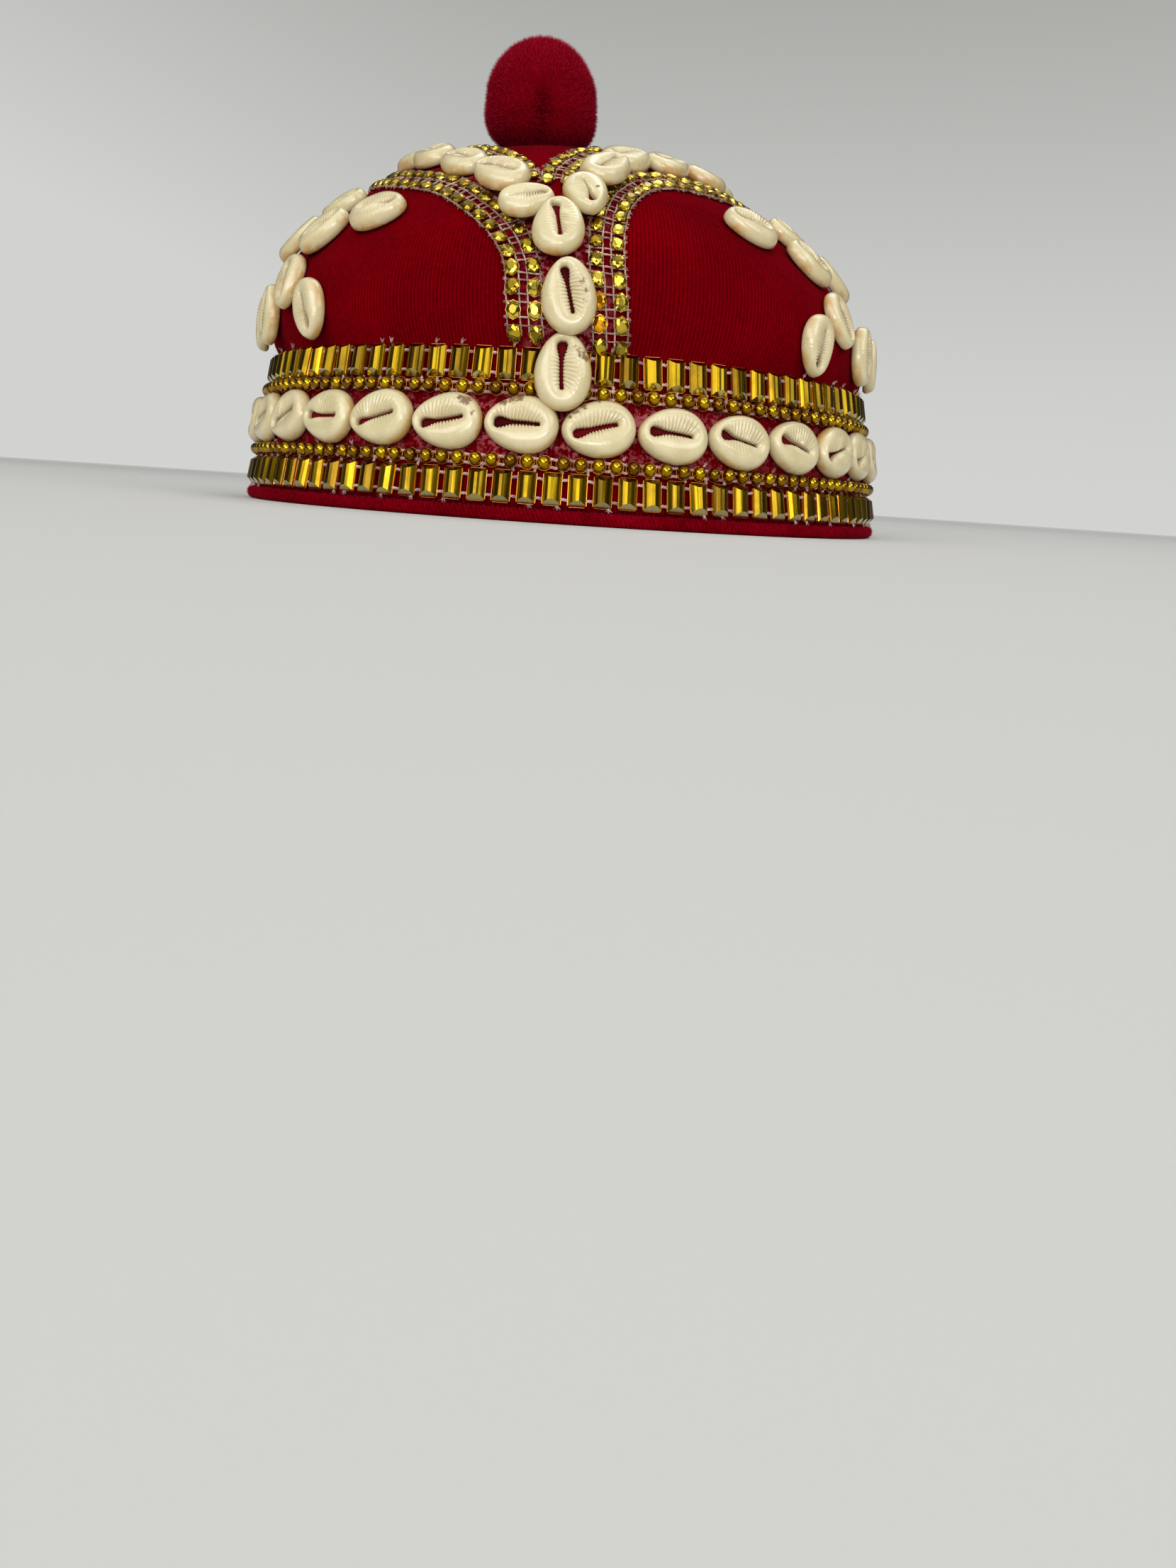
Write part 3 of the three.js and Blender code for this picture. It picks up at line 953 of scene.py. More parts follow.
def glueAmount(azimuth, climb):
    # how near a point is to the edge of a glued shell
    amount = np.zeros(len(azimuth))
    places = [
        (bandAzimuth(i), climbAt(bandCowries["height"]), 90, bandCowries["length"], glueReach["band"])
        for i in range(bandCowries["count"])
    ]
    for group in ("front_cowrie", "crown_cowrie"):
        places += [(*row[:4], glueReach[group]) for row in singleCowries[group]]
    radius = wallProfile(climb)[0]
    for az, cl, turn, length, reach in places:
        east = np.radians(signedAzimuth(azimuth - az)) * radius
        up = climb - cl
        c, s = math.cos(math.radians(turn)), math.sin(math.radians(turn))
        along = (east * s + up * c) / (length / 2)
        across = (east * c - up * s) / (length * glueSpread["halfWidth"])
        far = np.hypot(along, across)
        amount = np.maximum(amount, np.clip((reach - far) / (reach - 1), 0, 1))
    # most of it is at the front
    beside = (np.abs(signedAzimuth(azimuth)) - glueSpread["full"]) / glueSpread["fade"]
    return amount * (1 - glueSpread["loss"] * np.clip(beside, 0, 1))


def makeVelvet():
    spec = velvetWall
    points, faces, azimuth, climb, outside = wallSolid(spec, 0.0, spec["thick"])
    rise = np.clip(climb / spec["easeFrom"], 0, 1)
    heave = softNoise(points, spec["easeScale"], spec["easeSeed"]) * spec["ease"] * rise * outside
    outward = points * [1, 1, 0.6]
    outward /= np.linalg.norm(outward, axis=1)[:, None]
    mesh = newMesh("velvetCrown", points + outward * heave[:, None], faces)
    addUv(mesh, "ribs", np.stack([ribPlace(azimuth, climb), climb], -1), 2 * math.pi * ribShear["radius"])
    addValue(mesh, "glue", glueAmount(azimuth, climb) * outside)
    addValue(mesh, "pile", outside)
    return newObject("velvetCrown", mesh, velvet)


def makeLining():
    points, faces, *_ = wallSolid(liningWall, liningWall["outside"], liningWall["inside"])
    return newObject("blackLining", newMesh("blackLining", points, faces), black)


rimForm = {
    "columns": 288,
    "round": 22,
    "height": 3.3,
    "outer": 99.75,
    "inner": 95.1,
    "power": 3.2,
    "pileFrom": -0.9,
    "pileAbove": -0.35,
}


def makeRim():
    spec = rimForm
    centre = (spec["outer"] + spec["inner"]) / 2
    halfWidth = (spec["outer"] - spec["inner"]) / 2
    turn = np.arange(spec["round"]) * 2 * math.pi / spec["round"]
    c, s = np.cos(turn), np.sin(turn)
    size = (np.abs(c) ** spec["power"] + np.abs(s) ** spec["power"]) ** (-1 / spec["power"])
    radius = centre + halfWidth * c * size
    height = spec["height"] / 2 * (1 + s * size)
    azimuth = np.arange(spec["columns"]) * 360 / spec["columns"]
    angle = np.radians(azimuth)
    points = np.concatenate([
        np.stack([r * np.sin(angle), -r * np.cos(angle), np.full_like(angle, z)], -1)
        for r, z in zip(radius, height)
    ])
    faces = gridFaces(spec["round"], spec["columns"], closedRows=True)
    mesh = newMesh("velvetRim", points, faces)
    around = np.tile(np.radians(signedAzimuth(azimuth)), spec["round"]) * centre
    slope = np.repeat(height, spec["columns"])
    addUv(mesh, "ribs", np.stack([around + slope * 0.5, slope], -1), 2 * math.pi * centre)
    piled = (c * size > spec["pileFrom"]) & (s * size > spec["pileAbove"])
    addValue(mesh, "pile", np.repeat(piled.astype(float), spec["columns"]))
    return newObject("velvetRim", mesh, rimVelvet)


velvetCrown = asPiece(makeVelvet(), "velvet", "crown_shell")
asPiece(makeLining(), "lining", "lining")
velvetRim = asPiece(makeRim(), "velvet", "rim_roll")
print("wall made:", len(velvetCrown.data.polygons), "faces")

# Cowries

# Heights, slots and mouths are ranges of a random factor. slitRound is for the narrow and the wide
# end, ridgeReach for the toothed and the smooth lip.
cowrieForm = {
    "around": 120,
    "skew": 0.25,
    "egg": 0.14,
    "bulge": 0.025,
    "wobble": 0.012,
    "height": 4.5,
    "heightAt": 18,
    "heights": (0.94, 1.06),
    "widthRatio": 0.74,
    "slitHalf": 0.305,
    "slitShift": 0.05,
    "slitBend": 0.02,
    "slitRound": (0.5, 0.34),
    "slot": 0.046,
    "slots": (0.85, 1.2),
    "leastSlot": 0.12,
    "mouth": 0.072,
    "mouths": (0.7, 1.25),
    "mouthAt": 0.08,
    "mouthLong": 0.2,
    "teeth": 14,
    "teethFrom": 0.06,
    "teethLong": 0.9,
    "toothDepth": 0.36,
    "smoothLipTeeth": 0.75,
    "ridge": 0.42,
    "ridgeReach": (0.66, 0.2),
    "unevenScale": 0.9,
    "uneven": 0.1,
    "plug": 0.5,
    "plugStep": 4,
}
# Steps from the slit's edge out to the rim, and the height there as a share of the shell's height
sectionSteps = [0, 0.03, 0.09, 0.19, 0.31, 0.45, 0.59, 0.71, 0.82, 0.91, 0.97, 1.0]
sectionLips = {
    "toothed": [0.78, 0.85, 0.89, 0.93, 0.965, 1.0, 0.99, 0.95, 0.86, 0.72, 0.54, 0.35],
    "smooth": [0.70, 0.79, 0.85, 0.915, 0.965, 1.0, 0.98, 0.925, 0.82, 0.68, 0.51, 0.34],
    "narrowEnd": [0.62, 0.70, 0.76, 0.82, 0.86, 0.87, 0.845, 0.79, 0.70, 0.58, 0.45, 0.32],
    "wideEnd": [0.66, 0.74, 0.81, 0.88, 0.92, 0.935, 0.915, 0.865, 0.78, 0.65, 0.50, 0.33],
}


def cowrieMesh(length, width, slitTurn, marks, seed):
    # one shell lying on its cut back, narrow end at +Y, with the toothed lip at +X
    form = cowrieForm
    rng = np.random.default_rng(seed)
    n = form["around"]
    u = np.arange(n) * 2 * math.pi / n
    angle = u + form["skew"] * np.sin(2 * u)
    cosine, sine = np.cos(angle), np.sin(angle)
    bulge = rng.uniform(-form["bulge"], form["bulge"])
    height = form["height"] * length / form["heightAt"] * rng.uniform(*form["heights"])
    wave = rng.uniform(0, form["wobble"])
    wobble = 1 + wave * np.cos(3 * angle + rng.uniform(0, 6)) + bulge * np.sin(angle)
    outX = sine * (1 - form["egg"] * cosine) * width / 2 * wobble
    outY = cosine * length / 2 * wobble
    # s runs from 0 at the narrow end to 1 at the wide one
    s = (1 - cosine) / 2
    mouth = form["mouth"] * rng.uniform(*form["mouths"])
    mouth = mouth * np.exp(-((s - form["mouthAt"]) / form["mouthLong"]) ** 2)
    opening = (form["slot"] * rng.uniform(*form["slots"]) + mouth) * width
    side = np.sign(sine) * np.abs(sine) ** np.where(cosine > 0, *form["slitRound"])
    teeth = 0.5 + 0.5 * np.cos(2 * math.pi * form["teeth"] * s)
    toothed = np.clip((s - form["teethFrom"]) / form["teethLong"], 0, 1)
    biting = np.clip(np.sin(math.pi * toothed) * 3, 0, 1)
    bite = form["toothDepth"] * teeth * biting * np.where(sine > 0, 1.0, form["smoothLipTeeth"])
    slitX = side * np.maximum(opening - bite, form["leastSlot"])
    slitX = slitX + rng.uniform(-form["slitBend"], form["slitBend"]) * width * sine ** 2
    slitY = (form["slitShift"] + cosine * form["slitHalf"]) * length
    c, r = math.cos(math.radians(slitTurn)), math.sin(math.radians(slitTurn))
    slitX, slitY = slitX * c - slitY * r, slitX * r + slitY * c
    steps = np.array(sectionSteps)
    lips = {key: np.array(value) for key, value in sectionLips.items()}
    toSide = (sine ** 2)[None, :]
    lip = np.where(sine[None, :] > 0, lips["toothed"][:, None], lips["smooth"][:, None])
    end = np.where(cosine[None, :] > 0, lips["narrowEnd"][:, None], lips["wideEnd"][:, None])
    z = height * (toSide * lip + (1 - toSide) * end)
    reach = np.where(sine > 0, *form["ridgeReach"])[None, :]
    t = steps[:, None]
    fade = np.clip((reach - t) / reach, 0, 1) ** 0.8 * np.clip(t / 0.03 + 0.3, 0, 1)
    ridges = np.cos(2 * math.pi * form["teeth"] * s)[None, :] * biting[None, :]
    z = z + form["ridge"] * ridges * fade
    # how far down a groove between the ridges each point lies, for the painted shade there
    grooveShade = (0.5 - 0.5 * ridges) * fade * (biting > 0.05)
    x = slitX[None, :] + (outX - slitX)[None, :] * t
    y = slitY[None, :] + (outY - slitY)[None, :] * t
    rings = [np.stack([x[k], y[k], z[k]], -1) for k in range(len(steps))]
    edge = [np.full(n, v) for v in steps]
    # the rim turns under to the cut back: share of the outline, height, edge value
    for share, level, at in ((0.985, 0.14, 1.05), (0.9, 0.0, 1.1)):
        rings.append(np.stack([outX * share, outY * share, np.full(n, level * height)], -1))
        edge.append(np.full(n, at))
    floorX = slitX + (outX - slitX) * 0.03
    floorY = slitY + (outY - slitY) * 0.03
    rings.append(np.stack([floorX, floorY, np.zeros(n)], -1))
    rings.append(np.stack([floorX, floorY, z[0] * 0.5], -1))
    edge += [np.full(n, -0.2), np.full(n, -0.1)]
    points = np.concatenate(rings)
    high = np.clip(points[:, 2] / height * 2 - 0.4, 0, 1)
    points[:, 2] += softNoise(points, form["unevenScale"], seed + 900) * form["uneven"] * high
    count = len(rings)
    faces = []
    for k in range(count):
        a = k * n
        b = ((k + 1) % count) * n
        for i in range(n):
            j = (i + 1) % n
            faces.append((a + i, a + j, b + j, b + i))
    stain = np.zeros(len(points))
    for mx, my, radius, strength in marks:
        far = np.hypot(points[:, 0] - mx * width, points[:, 1] - my * length) / radius
        stain = np.maximum(stain, strength * np.clip(1.3 - far, 0, 1))
    # hollow carries the grooves' painted shade, on the lip's points only
    hollow = np.zeros(len(points))
    hollow[:grooveShade.size] = grooveShade.ravel()
    # a plug of red cloth and glue, seen through the slit
    pick = np.arange(0, n, form["plugStep"])
    size = len(pick)
    for level in (form["plug"] * height, 0.1):
        ring = np.stack([floorX[pick] * 1.02, floorY[pick], np.full(size, level)], -1)
        points = np.vstack([points, ring])
    top = len(points) - 2 * size
    faces.append(tuple(top + i for i in reversed(range(size))))
    faces.append(tuple(top + size + i for i in range(size)))
    for i in range(size):
        j = (i + 1) % size
        faces.append((top + i, top + j, top + size + j, top + size + i))
    plugFaces = size + 2
    pad = np.zeros(2 * size)
    edge = np.concatenate(edge + [pad])
    stain = np.concatenate([stain, pad])
    hollow = np.concatenate([hollow, pad])
    return points, faces, plugFaces, edge, stain, hollow, rng.uniform()


def cowriePiece(name, placed):
    # placed gives length, width, slit turn, placement matrix, marks and seed of each shell in the piece
    points, faces, edges, stains, grooveShades, tones, slotIndex = [], [], [], [], [], [], []
    start = 0
    for length, width, slitTurn, matrix, marks, seed in placed:
        made = cowrieMesh(length, width, slitTurn, marks, seed)
        shell, shellFaces, plugFaces, edge, stain, grooveShade, tone = made
        m = np.array(matrix)
        points.append(shell * mm @ m[:3, :3].T + m[:3, 3])
        faces += [tuple(start + v for v in face) for face in shellFaces]
        slotIndex += [0] * (len(shellFaces) - plugFaces) + [1] * plugFaces
        start += len(shell)
        edges.append(edge)
        stains.append(stain)
        grooveShades.append(grooveShade)
        tones.append(np.full(len(shell), tone))
    mesh = newMesh(name, np.concatenate(points), faces, scale=1.0)
    addValue(mesh, "edge", np.concatenate(edges))
    addValue(mesh, "stain", np.concatenate(stains))
    addValue(mesh, "grooveShade", np.concatenate(grooveShades))
    addValue(mesh, "tone", np.concatenate(tones))
    made = newObject(name, mesh, ivory)
    mesh.materials.append(plugVelvet)
    mesh.polygons.foreach_set("material_index", slotIndex)
    return made


def makeBandCowries():
    spec = bandCowries
    for row, (first, count) in spec["rows"].items():
        placed = []
        for index in range(first, first + count):
            key = index if index < spec["count"] / 2 else index - spec["count"]
            rng = np.random.default_rng(spec["placeSeed"] + index)
            slitTurn = bandSlits.get(key, rng.uniform(*spec["slitRange"]))
            turn = -90 - spec["shellShare"] * slitTurn
            size = rng.uniform(*spec["sizes"])
            placed.append((
                spec["length"] * size,
                spec["width"] * size,
                spec["slitShare"] * slitTurn,
                wallFrame(bandAzimuth(index), climbAt(spec["height"]), onCloth, turn),
                shellMarks.get(f"band_{key}", []),
                spec["shellSeed"] + index,
            ))
        asPiece(cowriePiece(f"bandCowries{row.capitalize()}", placed), "shell", f"band_cowries_{row}")


def makeSingleCowries(seed):
    for group, rows in singleCowries.items():
        side = group.split("_")[0]
        for i, (azimuth, climb, turn, length, lift, slitTurn) in enumerate(rows, 1):
            node = f"{group}_{i}"
            width = length * cowrieForm["widthRatio"]
            matrix = wallFrame(azimuth, climb, lift, turn)
            placed = [(length, width, slitTurn, matrix, shellMarks.get(node, []), seed)]
            asPiece(cowriePiece(f"{side}Cowrie{i}", placed), "shell", node)
            seed += 1


makeBandCowries()
makeSingleCowries(seed=201)
print("cowries made")

# Baguettes, balls and their threads round the band

baguette = {
    "width": 4.4,
    "height": 7.9,
    "depth": 2.15,
    "base": 0.95,
    "bevelFrom": 0.65,
    "roof": ((1, 0), (0.78, 0.46), (0.48, 0.8)),
    "ridge": 0.75,
    "endBevel": 1.35,
    "frame": 0.32,
    "frameEnd": 0.6,
    "frameDepth": 0.85,
    "frameBevelFrom": 0.6,
    "frameBevel": 0.14,
    "frameCorner": 0.5,
    "lift": 0.35,
    "barLift": 0.2,
    "jitter": 0.03,
}
trims = {
    "lower": {
        "bottom": 4.0,
        "count": 99,
        "first": -8.57,
        "seed": 11,
        "ballHeight": 13.95,
        "ballCount": 141,
        "ballSeed": 31,
        "tieHeight": 12.55,
    },
    "upper": {
        "bottom": 32.8,
        "count": 96,
        "first": -5.7,
        "seed": 23,
        "ballHeight": 30.8,
        "ballCount": 136,
        "ballSeed": 43,
        "tieHeight": 32.2,
    },
}
ball = {
    "radius": 1.68,
    "rows": 8,
    "columns": 12,
    "lift": 1.7,
    "jitter": 0.12,
    "wander": 0.06,
    "wire": 0.1,
    "wireSides": 4,
    "ringRadius": 1.85,
    "ringLift": -0.45,
    "ringSteps": 14,
}
link = {"strand": 0.22, "offset": 0.25, "turns": 1.6, "steps": 9, "sides": 3}
# Threads between bars, between balls, and from balls to bars
barLinks = {"length": 2.1, "aside": 2.3, "lift": 1.0, "jitter": 0.15}
ballLinks = {"length": 1.9, "aside": 0.95, "lift": 0.95, "jitter": 0.12}
tieLinks = {
    "length": 1.7,
    "lift": 0.8,
    "jitter": 0.2,
    "turn": 0.012,
    "share": 0.8,
    "wander": 0.25,
    "seed": 61,
}


def bandRadius(height):
    return wall["rimRadius"] - wall["taper"] * height


def barMesh():
    # a roofed bar: its top is rounded a little across, and both ends are cut off at a slant
    spec = baguette
    halfW, halfH = spec["width"] / 2, spec["height"] / 2
    ridge, edge, depth, foot = spec["ridge"] / 2, spec["base"], spec["depth"], spec["bevelFrom"]
    left = [(-halfW * out, edge + (depth - edge) * up) for out, up in spec["roof"]]
    left.append((-ridge, depth))
    section = left + [(-x, z) for x, z in reversed(left)]
    points = []
    for x, z in section:
        inset = spec["endBevel"] * (z - foot) / (depth - foot)
        points += [(x, -halfH + inset, z), (x, halfH - inset, z)]
    n = len(section)
    corners = [(-halfW, -halfH), (halfW, -halfH), (halfW, halfH), (-halfW, halfH)]
    low = len(points)
    points += [(x, y, foot) for x, y in corners]
    base = len(points)
    points += [(x, y, 0) for x, y in corners]
    last = 2 * n - 2
    roof = [(2 * i, 2 * i + 2, 2 * i + 3, 2 * i + 1) for i in range(n - 1)]
    ends = [
        (low, low + 1, *(2 * i for i in reversed(range(n)))),
        (low + 2, low + 3, *(2 * i + 1 for i in range(n))),
    ]
    sides = [
        (base, base + 1, low + 1, low),
        (base + 2, base + 3, low + 3, low + 2),
        (base + 1, base + 2, low + 2, last + 1, last, low + 1),
        (base + 3, base, low, 0, 1, low + 3),
        (base + 3, base + 2, base + 1, base),
    ]
    mesh = newMesh("bar", points, roof + ends + sides)
    mesh.polygons.foreach_set("use_smooth", [True] * len(roof) + [False] * len(ends + sides))
    sharp = mesh.attributes.new("sharp_edge", "BOOLEAN", "EDGE")
    for line in mesh.edges:
        first, second = line.vertices
        along = first < low and second < low and first // 2 == second // 2
        # of the lines along the roof, only its two edges and its ridge are sharp
        sharp.data[line.index].value = not along or first // 2 in (0, len(left) - 1, len(left), n - 1)
    # the slanted end at the foot is painted paler, a painted reflection of the pale floor below
    bevelReflection = mesh.attributes.new("bevelReflection", "FLOAT", "FACE")
    bevelReflection.data[len(roof)].value = 1.0
    return mesh


def frameMesh():
    # the flat plate under a bar, its corners cut and its upper edge bevelled
    spec = baguette
    halfW = spec["width"] / 2 + spec["frame"]
    halfH = spec["height"] / 2 + spec["frame"] * spec["frameEnd"]
    cut, deep = spec["frameCorner"], spec["frameDepth"]
    points = []
    for z, inset in ((0.0, 0.0), (deep * spec["frameBevelFrom"], 0.0), (deep, spec["frameBevel"])):
        w, h = halfW - inset, halfH - inset
        points += [
            (-w + cut, -h, z), (w - cut, -h, z), (w, -h + cut, z), (w, h - cut, z),
            (w - cut, h, z), (-w + cut, h, z), (-w, h - cut, z), (-w, -h + cut, z),
        ]
    return newMesh("plate", points, cappedFaces(3, 8), smooth=False)


def ballMesh():
    radius, rows, columns = ball["radius"], ball["rows"], ball["columns"]
    points = [(0, 0, -radius)]
    for r in range(1, rows):
        phi = math.pi * r / rows
        wide, z = radius * math.sin(phi), -radius * math.cos(phi)
        for c in range(columns):
            a = 2 * math.pi * c / columns
            points.append((wide * math.cos(a), wide * math.sin(a), z))
    points.append((0, 0, radius))
    faces = [tuple(1 + v for v in face) for face in gridFaces(rows - 1, columns)]
    last = len(points) - 1
    for c in range(columns):
        d = (c + 1) % columns
        faces.append((0, 1 + d, 1 + c))
        faces.append((last, 1 + (rows - 2) * columns + c, 1 + (rows - 2) * columns + d))
    return newMesh("ball", points, faces)


def ringMesh():
    # the thin hoop round the foot of a ball
    around, sides, wire = ball["ringSteps"], ball["wireSides"], ball["wire"]
    points = []
    for c in range(around):
        a = 2 * math.pi * c / around
        for k in range(sides):
            b = 2 * math.pi * k / sides
            r = ball["ringRadius"] + wire * math.cos(b)
            points.append((r * math.cos(a), r * math.sin(a), ball["ringLift"] + wire * math.sin(b)))
    return newMesh("ring", points, gridFaces(around, sides, closedRows=True))


patterns = []


def pattern(name, mesh):
    # a piece to copy, taken away once the copies are made
    made = newObject(name, mesh)
    patterns.append(made)
    return made


def twisted(name, length, spec=link):
    made = grown(name, seedPoint, twistTree, {
        "Length": length * mm,
        "Strand": spec["strand"] * mm,
        "Offset": spec["offset"] * mm,
        "Turns": spec["turns"],
        "Steps": spec["steps"],
        "Sides": spec["sides"],
        "Finish": thread,
    })
    patterns.append(made)
    return made


def ringOf(name, piece, finish, height, lift, count, first, jitter=0.0, share=1.1, wander=0.0, seed=1):
    # copies round the band at a height; first is the first one's angle from the front, in radians,
    # and a share over 1 keeps them all
    radius = bandRadius(height) + lift / slant
    return grown(name, seedPoint, ringTree, {
        "Count": count,
        "First angle": first,
        "Radius": radius * mm,
        "Height": (height + lift * wall["taper"] / slant) * mm,
        "Tilt": math.atan(wall["taper"]),
        "Share": share,
        "Wander": wander,
        "Jitter": jitter,
        "Seed": seed,
        "Piece": piece,
        "Finish": finish,
    })


def joined(name, pieces):
    # one object from several, each keeping its finish
    for piece in pieces:
        piece.select_set(True)
    picked = {"active_object": pieces[0], "selected_editable_objects": pieces, "selected_objects": pieces}
    with bpy.context.temp_override(**picked):
        bpy.ops.object.join()
    pieces[0].name = name
    pieces[0].data.name = name
    return pieces[0]


def rowLinks(spec, height, count, first, seed):
    # two threads from each piece of a row to the next, one below its middle and one above
    piece = twisted("rowLink", spec["length"])
    row = {"lift": spec["lift"], "count": count, "first": first + math.pi / count, "jitter": spec["jitter"]}
    return [
        ringOf("links", piece, thread, height + up, seed=seed + k, **row)
        for k, up in enumerate((-spec["aside"], spec["aside"]))
    ]


def makeTrim(side):
    spec = trims[side]
    count, seed = spec["count"], spec["seed"]
    first = math.radians(spec["first"])
    middle = spec["bottom"] + baguette["height"] / 2
    row = {"height": middle, "count": count, "first": first, "jitter": baguette["jitter"], "seed": seed}
    bar, plate = pattern("bar", barMesh()), pattern("plate", frameMesh())
    bars = ringOf("bars", bar, gold, lift=baguette["lift"] + baguette["barLift"], **row)
    plates = ringOf("plates", plate, amber, lift=baguette["lift"], **row)
    links = rowLinks(barLinks, middle, count, first, seed)
    piece = joined(f"{side}Baguettes", [bars, plates])
    asPiece(piece, "bead", f"{side}_baguette_ring")
    return links


def makeBalls(side):
    spec = trims[side]
    height, count, seed = spec["ballHeight"], spec["ballCount"], spec["ballSeed"]
    row = {
        "height": height,
        "lift": ball["lift"],
        "count": count,
        "first": 0.0,
        "jitter": ball["jitter"],
        "wander": ball["wander"],
        "seed": seed,
    }
    beads = ringOf("beads", pattern("bead", ballMesh()), ballGold, **row)
    hoops = ringOf("hoops", pattern("hoop", ringMesh()), amber, **row)
    links = rowLinks(ballLinks, height, count, 0.0, seed)
    piece = joined(f"{side}Balls", [beads, hoops])
    asPiece(piece, "bead", f"{side}_ball_row")
    return links


def uprightLinks(side):
    # short threads from the balls to the baguettes
    spec, tie = trims[side], tieLinks
    standing = twisted("standing", tie["length"])
    standing.data.transform(Matrix.Rotation(math.pi / 2, 4, "Z"))
    return ringOf(
        "ties", standing, thread, spec["tieHeight"], tie["lift"],
        spec["count"], math.radians(spec["first"]) + tie["turn"], tie["jitter"],
        share=tie["share"], wander=tie["wander"], seed=tie["seed"],
    )


def tuftMesh(fibres, length, spread, thick, seed):
    # a frayed knot of short bent fibres, standing along Y
    rng = np.random.default_rng(seed)
    points, faces = [], []
    for _ in range(fibres):
        lean = rng.normal(0, spread, 2)
        bend = rng.normal(0, spread * 0.7, 2)
        foot = rng.normal(0, thick * 1.6, 2)
        run = length * rng.uniform(0.45, 1.0)
        start = len(points)
        for k in range(4):
            t = k / 3
            x = foot[0] + lean[0] * t * run + bend[0] * t * t * run
            z = abs(foot[1] + lean[1] * t * run) + 0.1
            wide = thick * (1 - 0.8 * t)
            for q in range(3):
                a = 2 * math.pi * q / 3
                points.append((x + wide * math.cos(a), run * t, z + wide * math.sin(a)))
        faces += [tuple(start + v for v in face) for face in cappedFaces(4, 3)]
    return newMesh("tuft", points, faces)


# Rows of frayed knots: trim, points down, height, lift, jitter, share, wander, seed
tuftRows = [
    ("upper", False, 40.9, 0.9, 0.25, 0.38, 0.35, 71),
    ("lower", True, 4.1, 0.9, 0.25, 0.3, 0.35, 77),
    ("lower", False, 15.8, 0.5, 0.3, 0.2, 0.4, 79),
]


def makeTufts():
    up = pattern("tuftUp", tuftMesh(12, 1.15, 0.5, 0.1, 3))
    down = pattern("tuftDown", tuftMesh(12, 1.1, 0.5, 0.1, 5))
    down.data.transform(Matrix.Rotation(math.pi, 4, "Z"))
    rows = []
    for side, hangs, height, lift, jitter, share, wander, seed in tuftRows:
        count, first = trims[side]["count"], math.radians(trims[side]["first"])
        knot = down if hangs else up
        rows.append(ringOf("tufts", knot, thread, height, lift, count, first, jitter, share, wander, seed))
    return rows


bandThreads = makeTrim("lower") + makeTrim("upper") + makeBalls("lower") + makeBalls("upper")
bandThreads += [uprightLinks("lower"), uprightLinks("upper"), *makeTufts()]
asPiece(joined("bandThreads", bandThreads), "bead")
print("band trims made")

# Rhinestone strips: two columns of stones in cups, netted together with thread

strip = {
    "pitch": 5.3,
    "startGap": 2.2,
    "endGap": 0.2,
    "across": 2.62,
    "lift": 0.9,
    "stoneLift": 0.45,
    "netLift": 0.7,
    "frayLift": 0.55,
    "stone": 1.95,
    "facets": 8,
    "table": 0.95,
    "crown": 1.25,
    "cup": 1.96,
    "cupWall": 0.18,
    "cupHeight": 0.8,
    "prong": 0.36,
    "oval": (0.9, 1.1),
    "thread": 1.6,
    "rungs": (1.75, 3.55),
    "leastSpan": 0.4,
    "strand": {"strand": 0.13, "offset": 0.17, "turns": 2.4, "steps": 10, "sides": 3},
    "jitter": 0.11,
    "netJitter": 0.07,
    "frayJitter": 0.5,
}
stripRoutes = {
    "outer": [
        (-6.6, 1.2), (-6.6, 10), (-7, 20), (-9.5, 28.5), (-15, 37.5), (-25, 48), (-37, 53.5),
        (-52, 59), (-70, 64), (-90, 65.5), (-135, 60), (-180, 55.5), (-225, 60), (-270, 65.5),
        (-290, 65), (-307, 63.5), (-322, 62), (-334, 60.5), (-342, 56), (-347.5, 49),
        (-351, 41), (-353, 31), (-353.7, 21), (-353.7, 10), (-353.7, 1.2),
    ],
    "inner": [
        (-9, 51), (-10, 55.5), (-14, 63), (-24, 72.4), (-40, 80), (-60, 85.5), (-90, 88.5),
        (-135, 83.5), (-180, 78.5), (-225, 83.5), (-270, 88.5), (-300, 87), (-322, 84),
        (-335, 82), (-348, 78.5), (-356, 69), (-360.5, 59), (-361.5, 51),
    ],
}


def smoothRoute(route, perSpan=24):
    # centripetal curve through the route's points, in azimuth and climb
    pins = np.array(route, float)
    pins = np.vstack([2 * pins[0] - pins[1], pins, 2 * pins[-1] - pins[-2]])
    knots = runAlong(pins, 0.5)
    fine = []
    for i in range(1, len(pins) - 2):
        t = np.linspace(knots[i], knots[i + 1], perSpan, endpoint=False)[:, None]
        k0, k1, k2, k3 = knots[i - 1:i + 3]
        p0, p1, p2, p3 = pins[i - 1:i + 3]
        a1 = (k1 - t) / (k1 - k0) * p0 + (t - k0) / (k1 - k0) * p1
        a2 = (k2 - t) / (k2 - k1) * p1 + (t - k1) / (k2 - k1) * p2
        a3 = (k3 - t) / (k3 - k2) * p2 + (t - k2) / (k3 - k2) * p3
        b1 = (k2 - t) / (k2 - k0) * a1 + (t - k0) / (k2 - k0) * a2
        b2 = (k3 - t) / (k3 - k1) * a2 + (t - k1) / (k3 - k1) * a3
        fine.append((k2 - t) / (k2 - k1) * b1 + (t - k1) / (k2 - k1) * b2)
    return np.vstack(fine + [pins[-2:-1]])


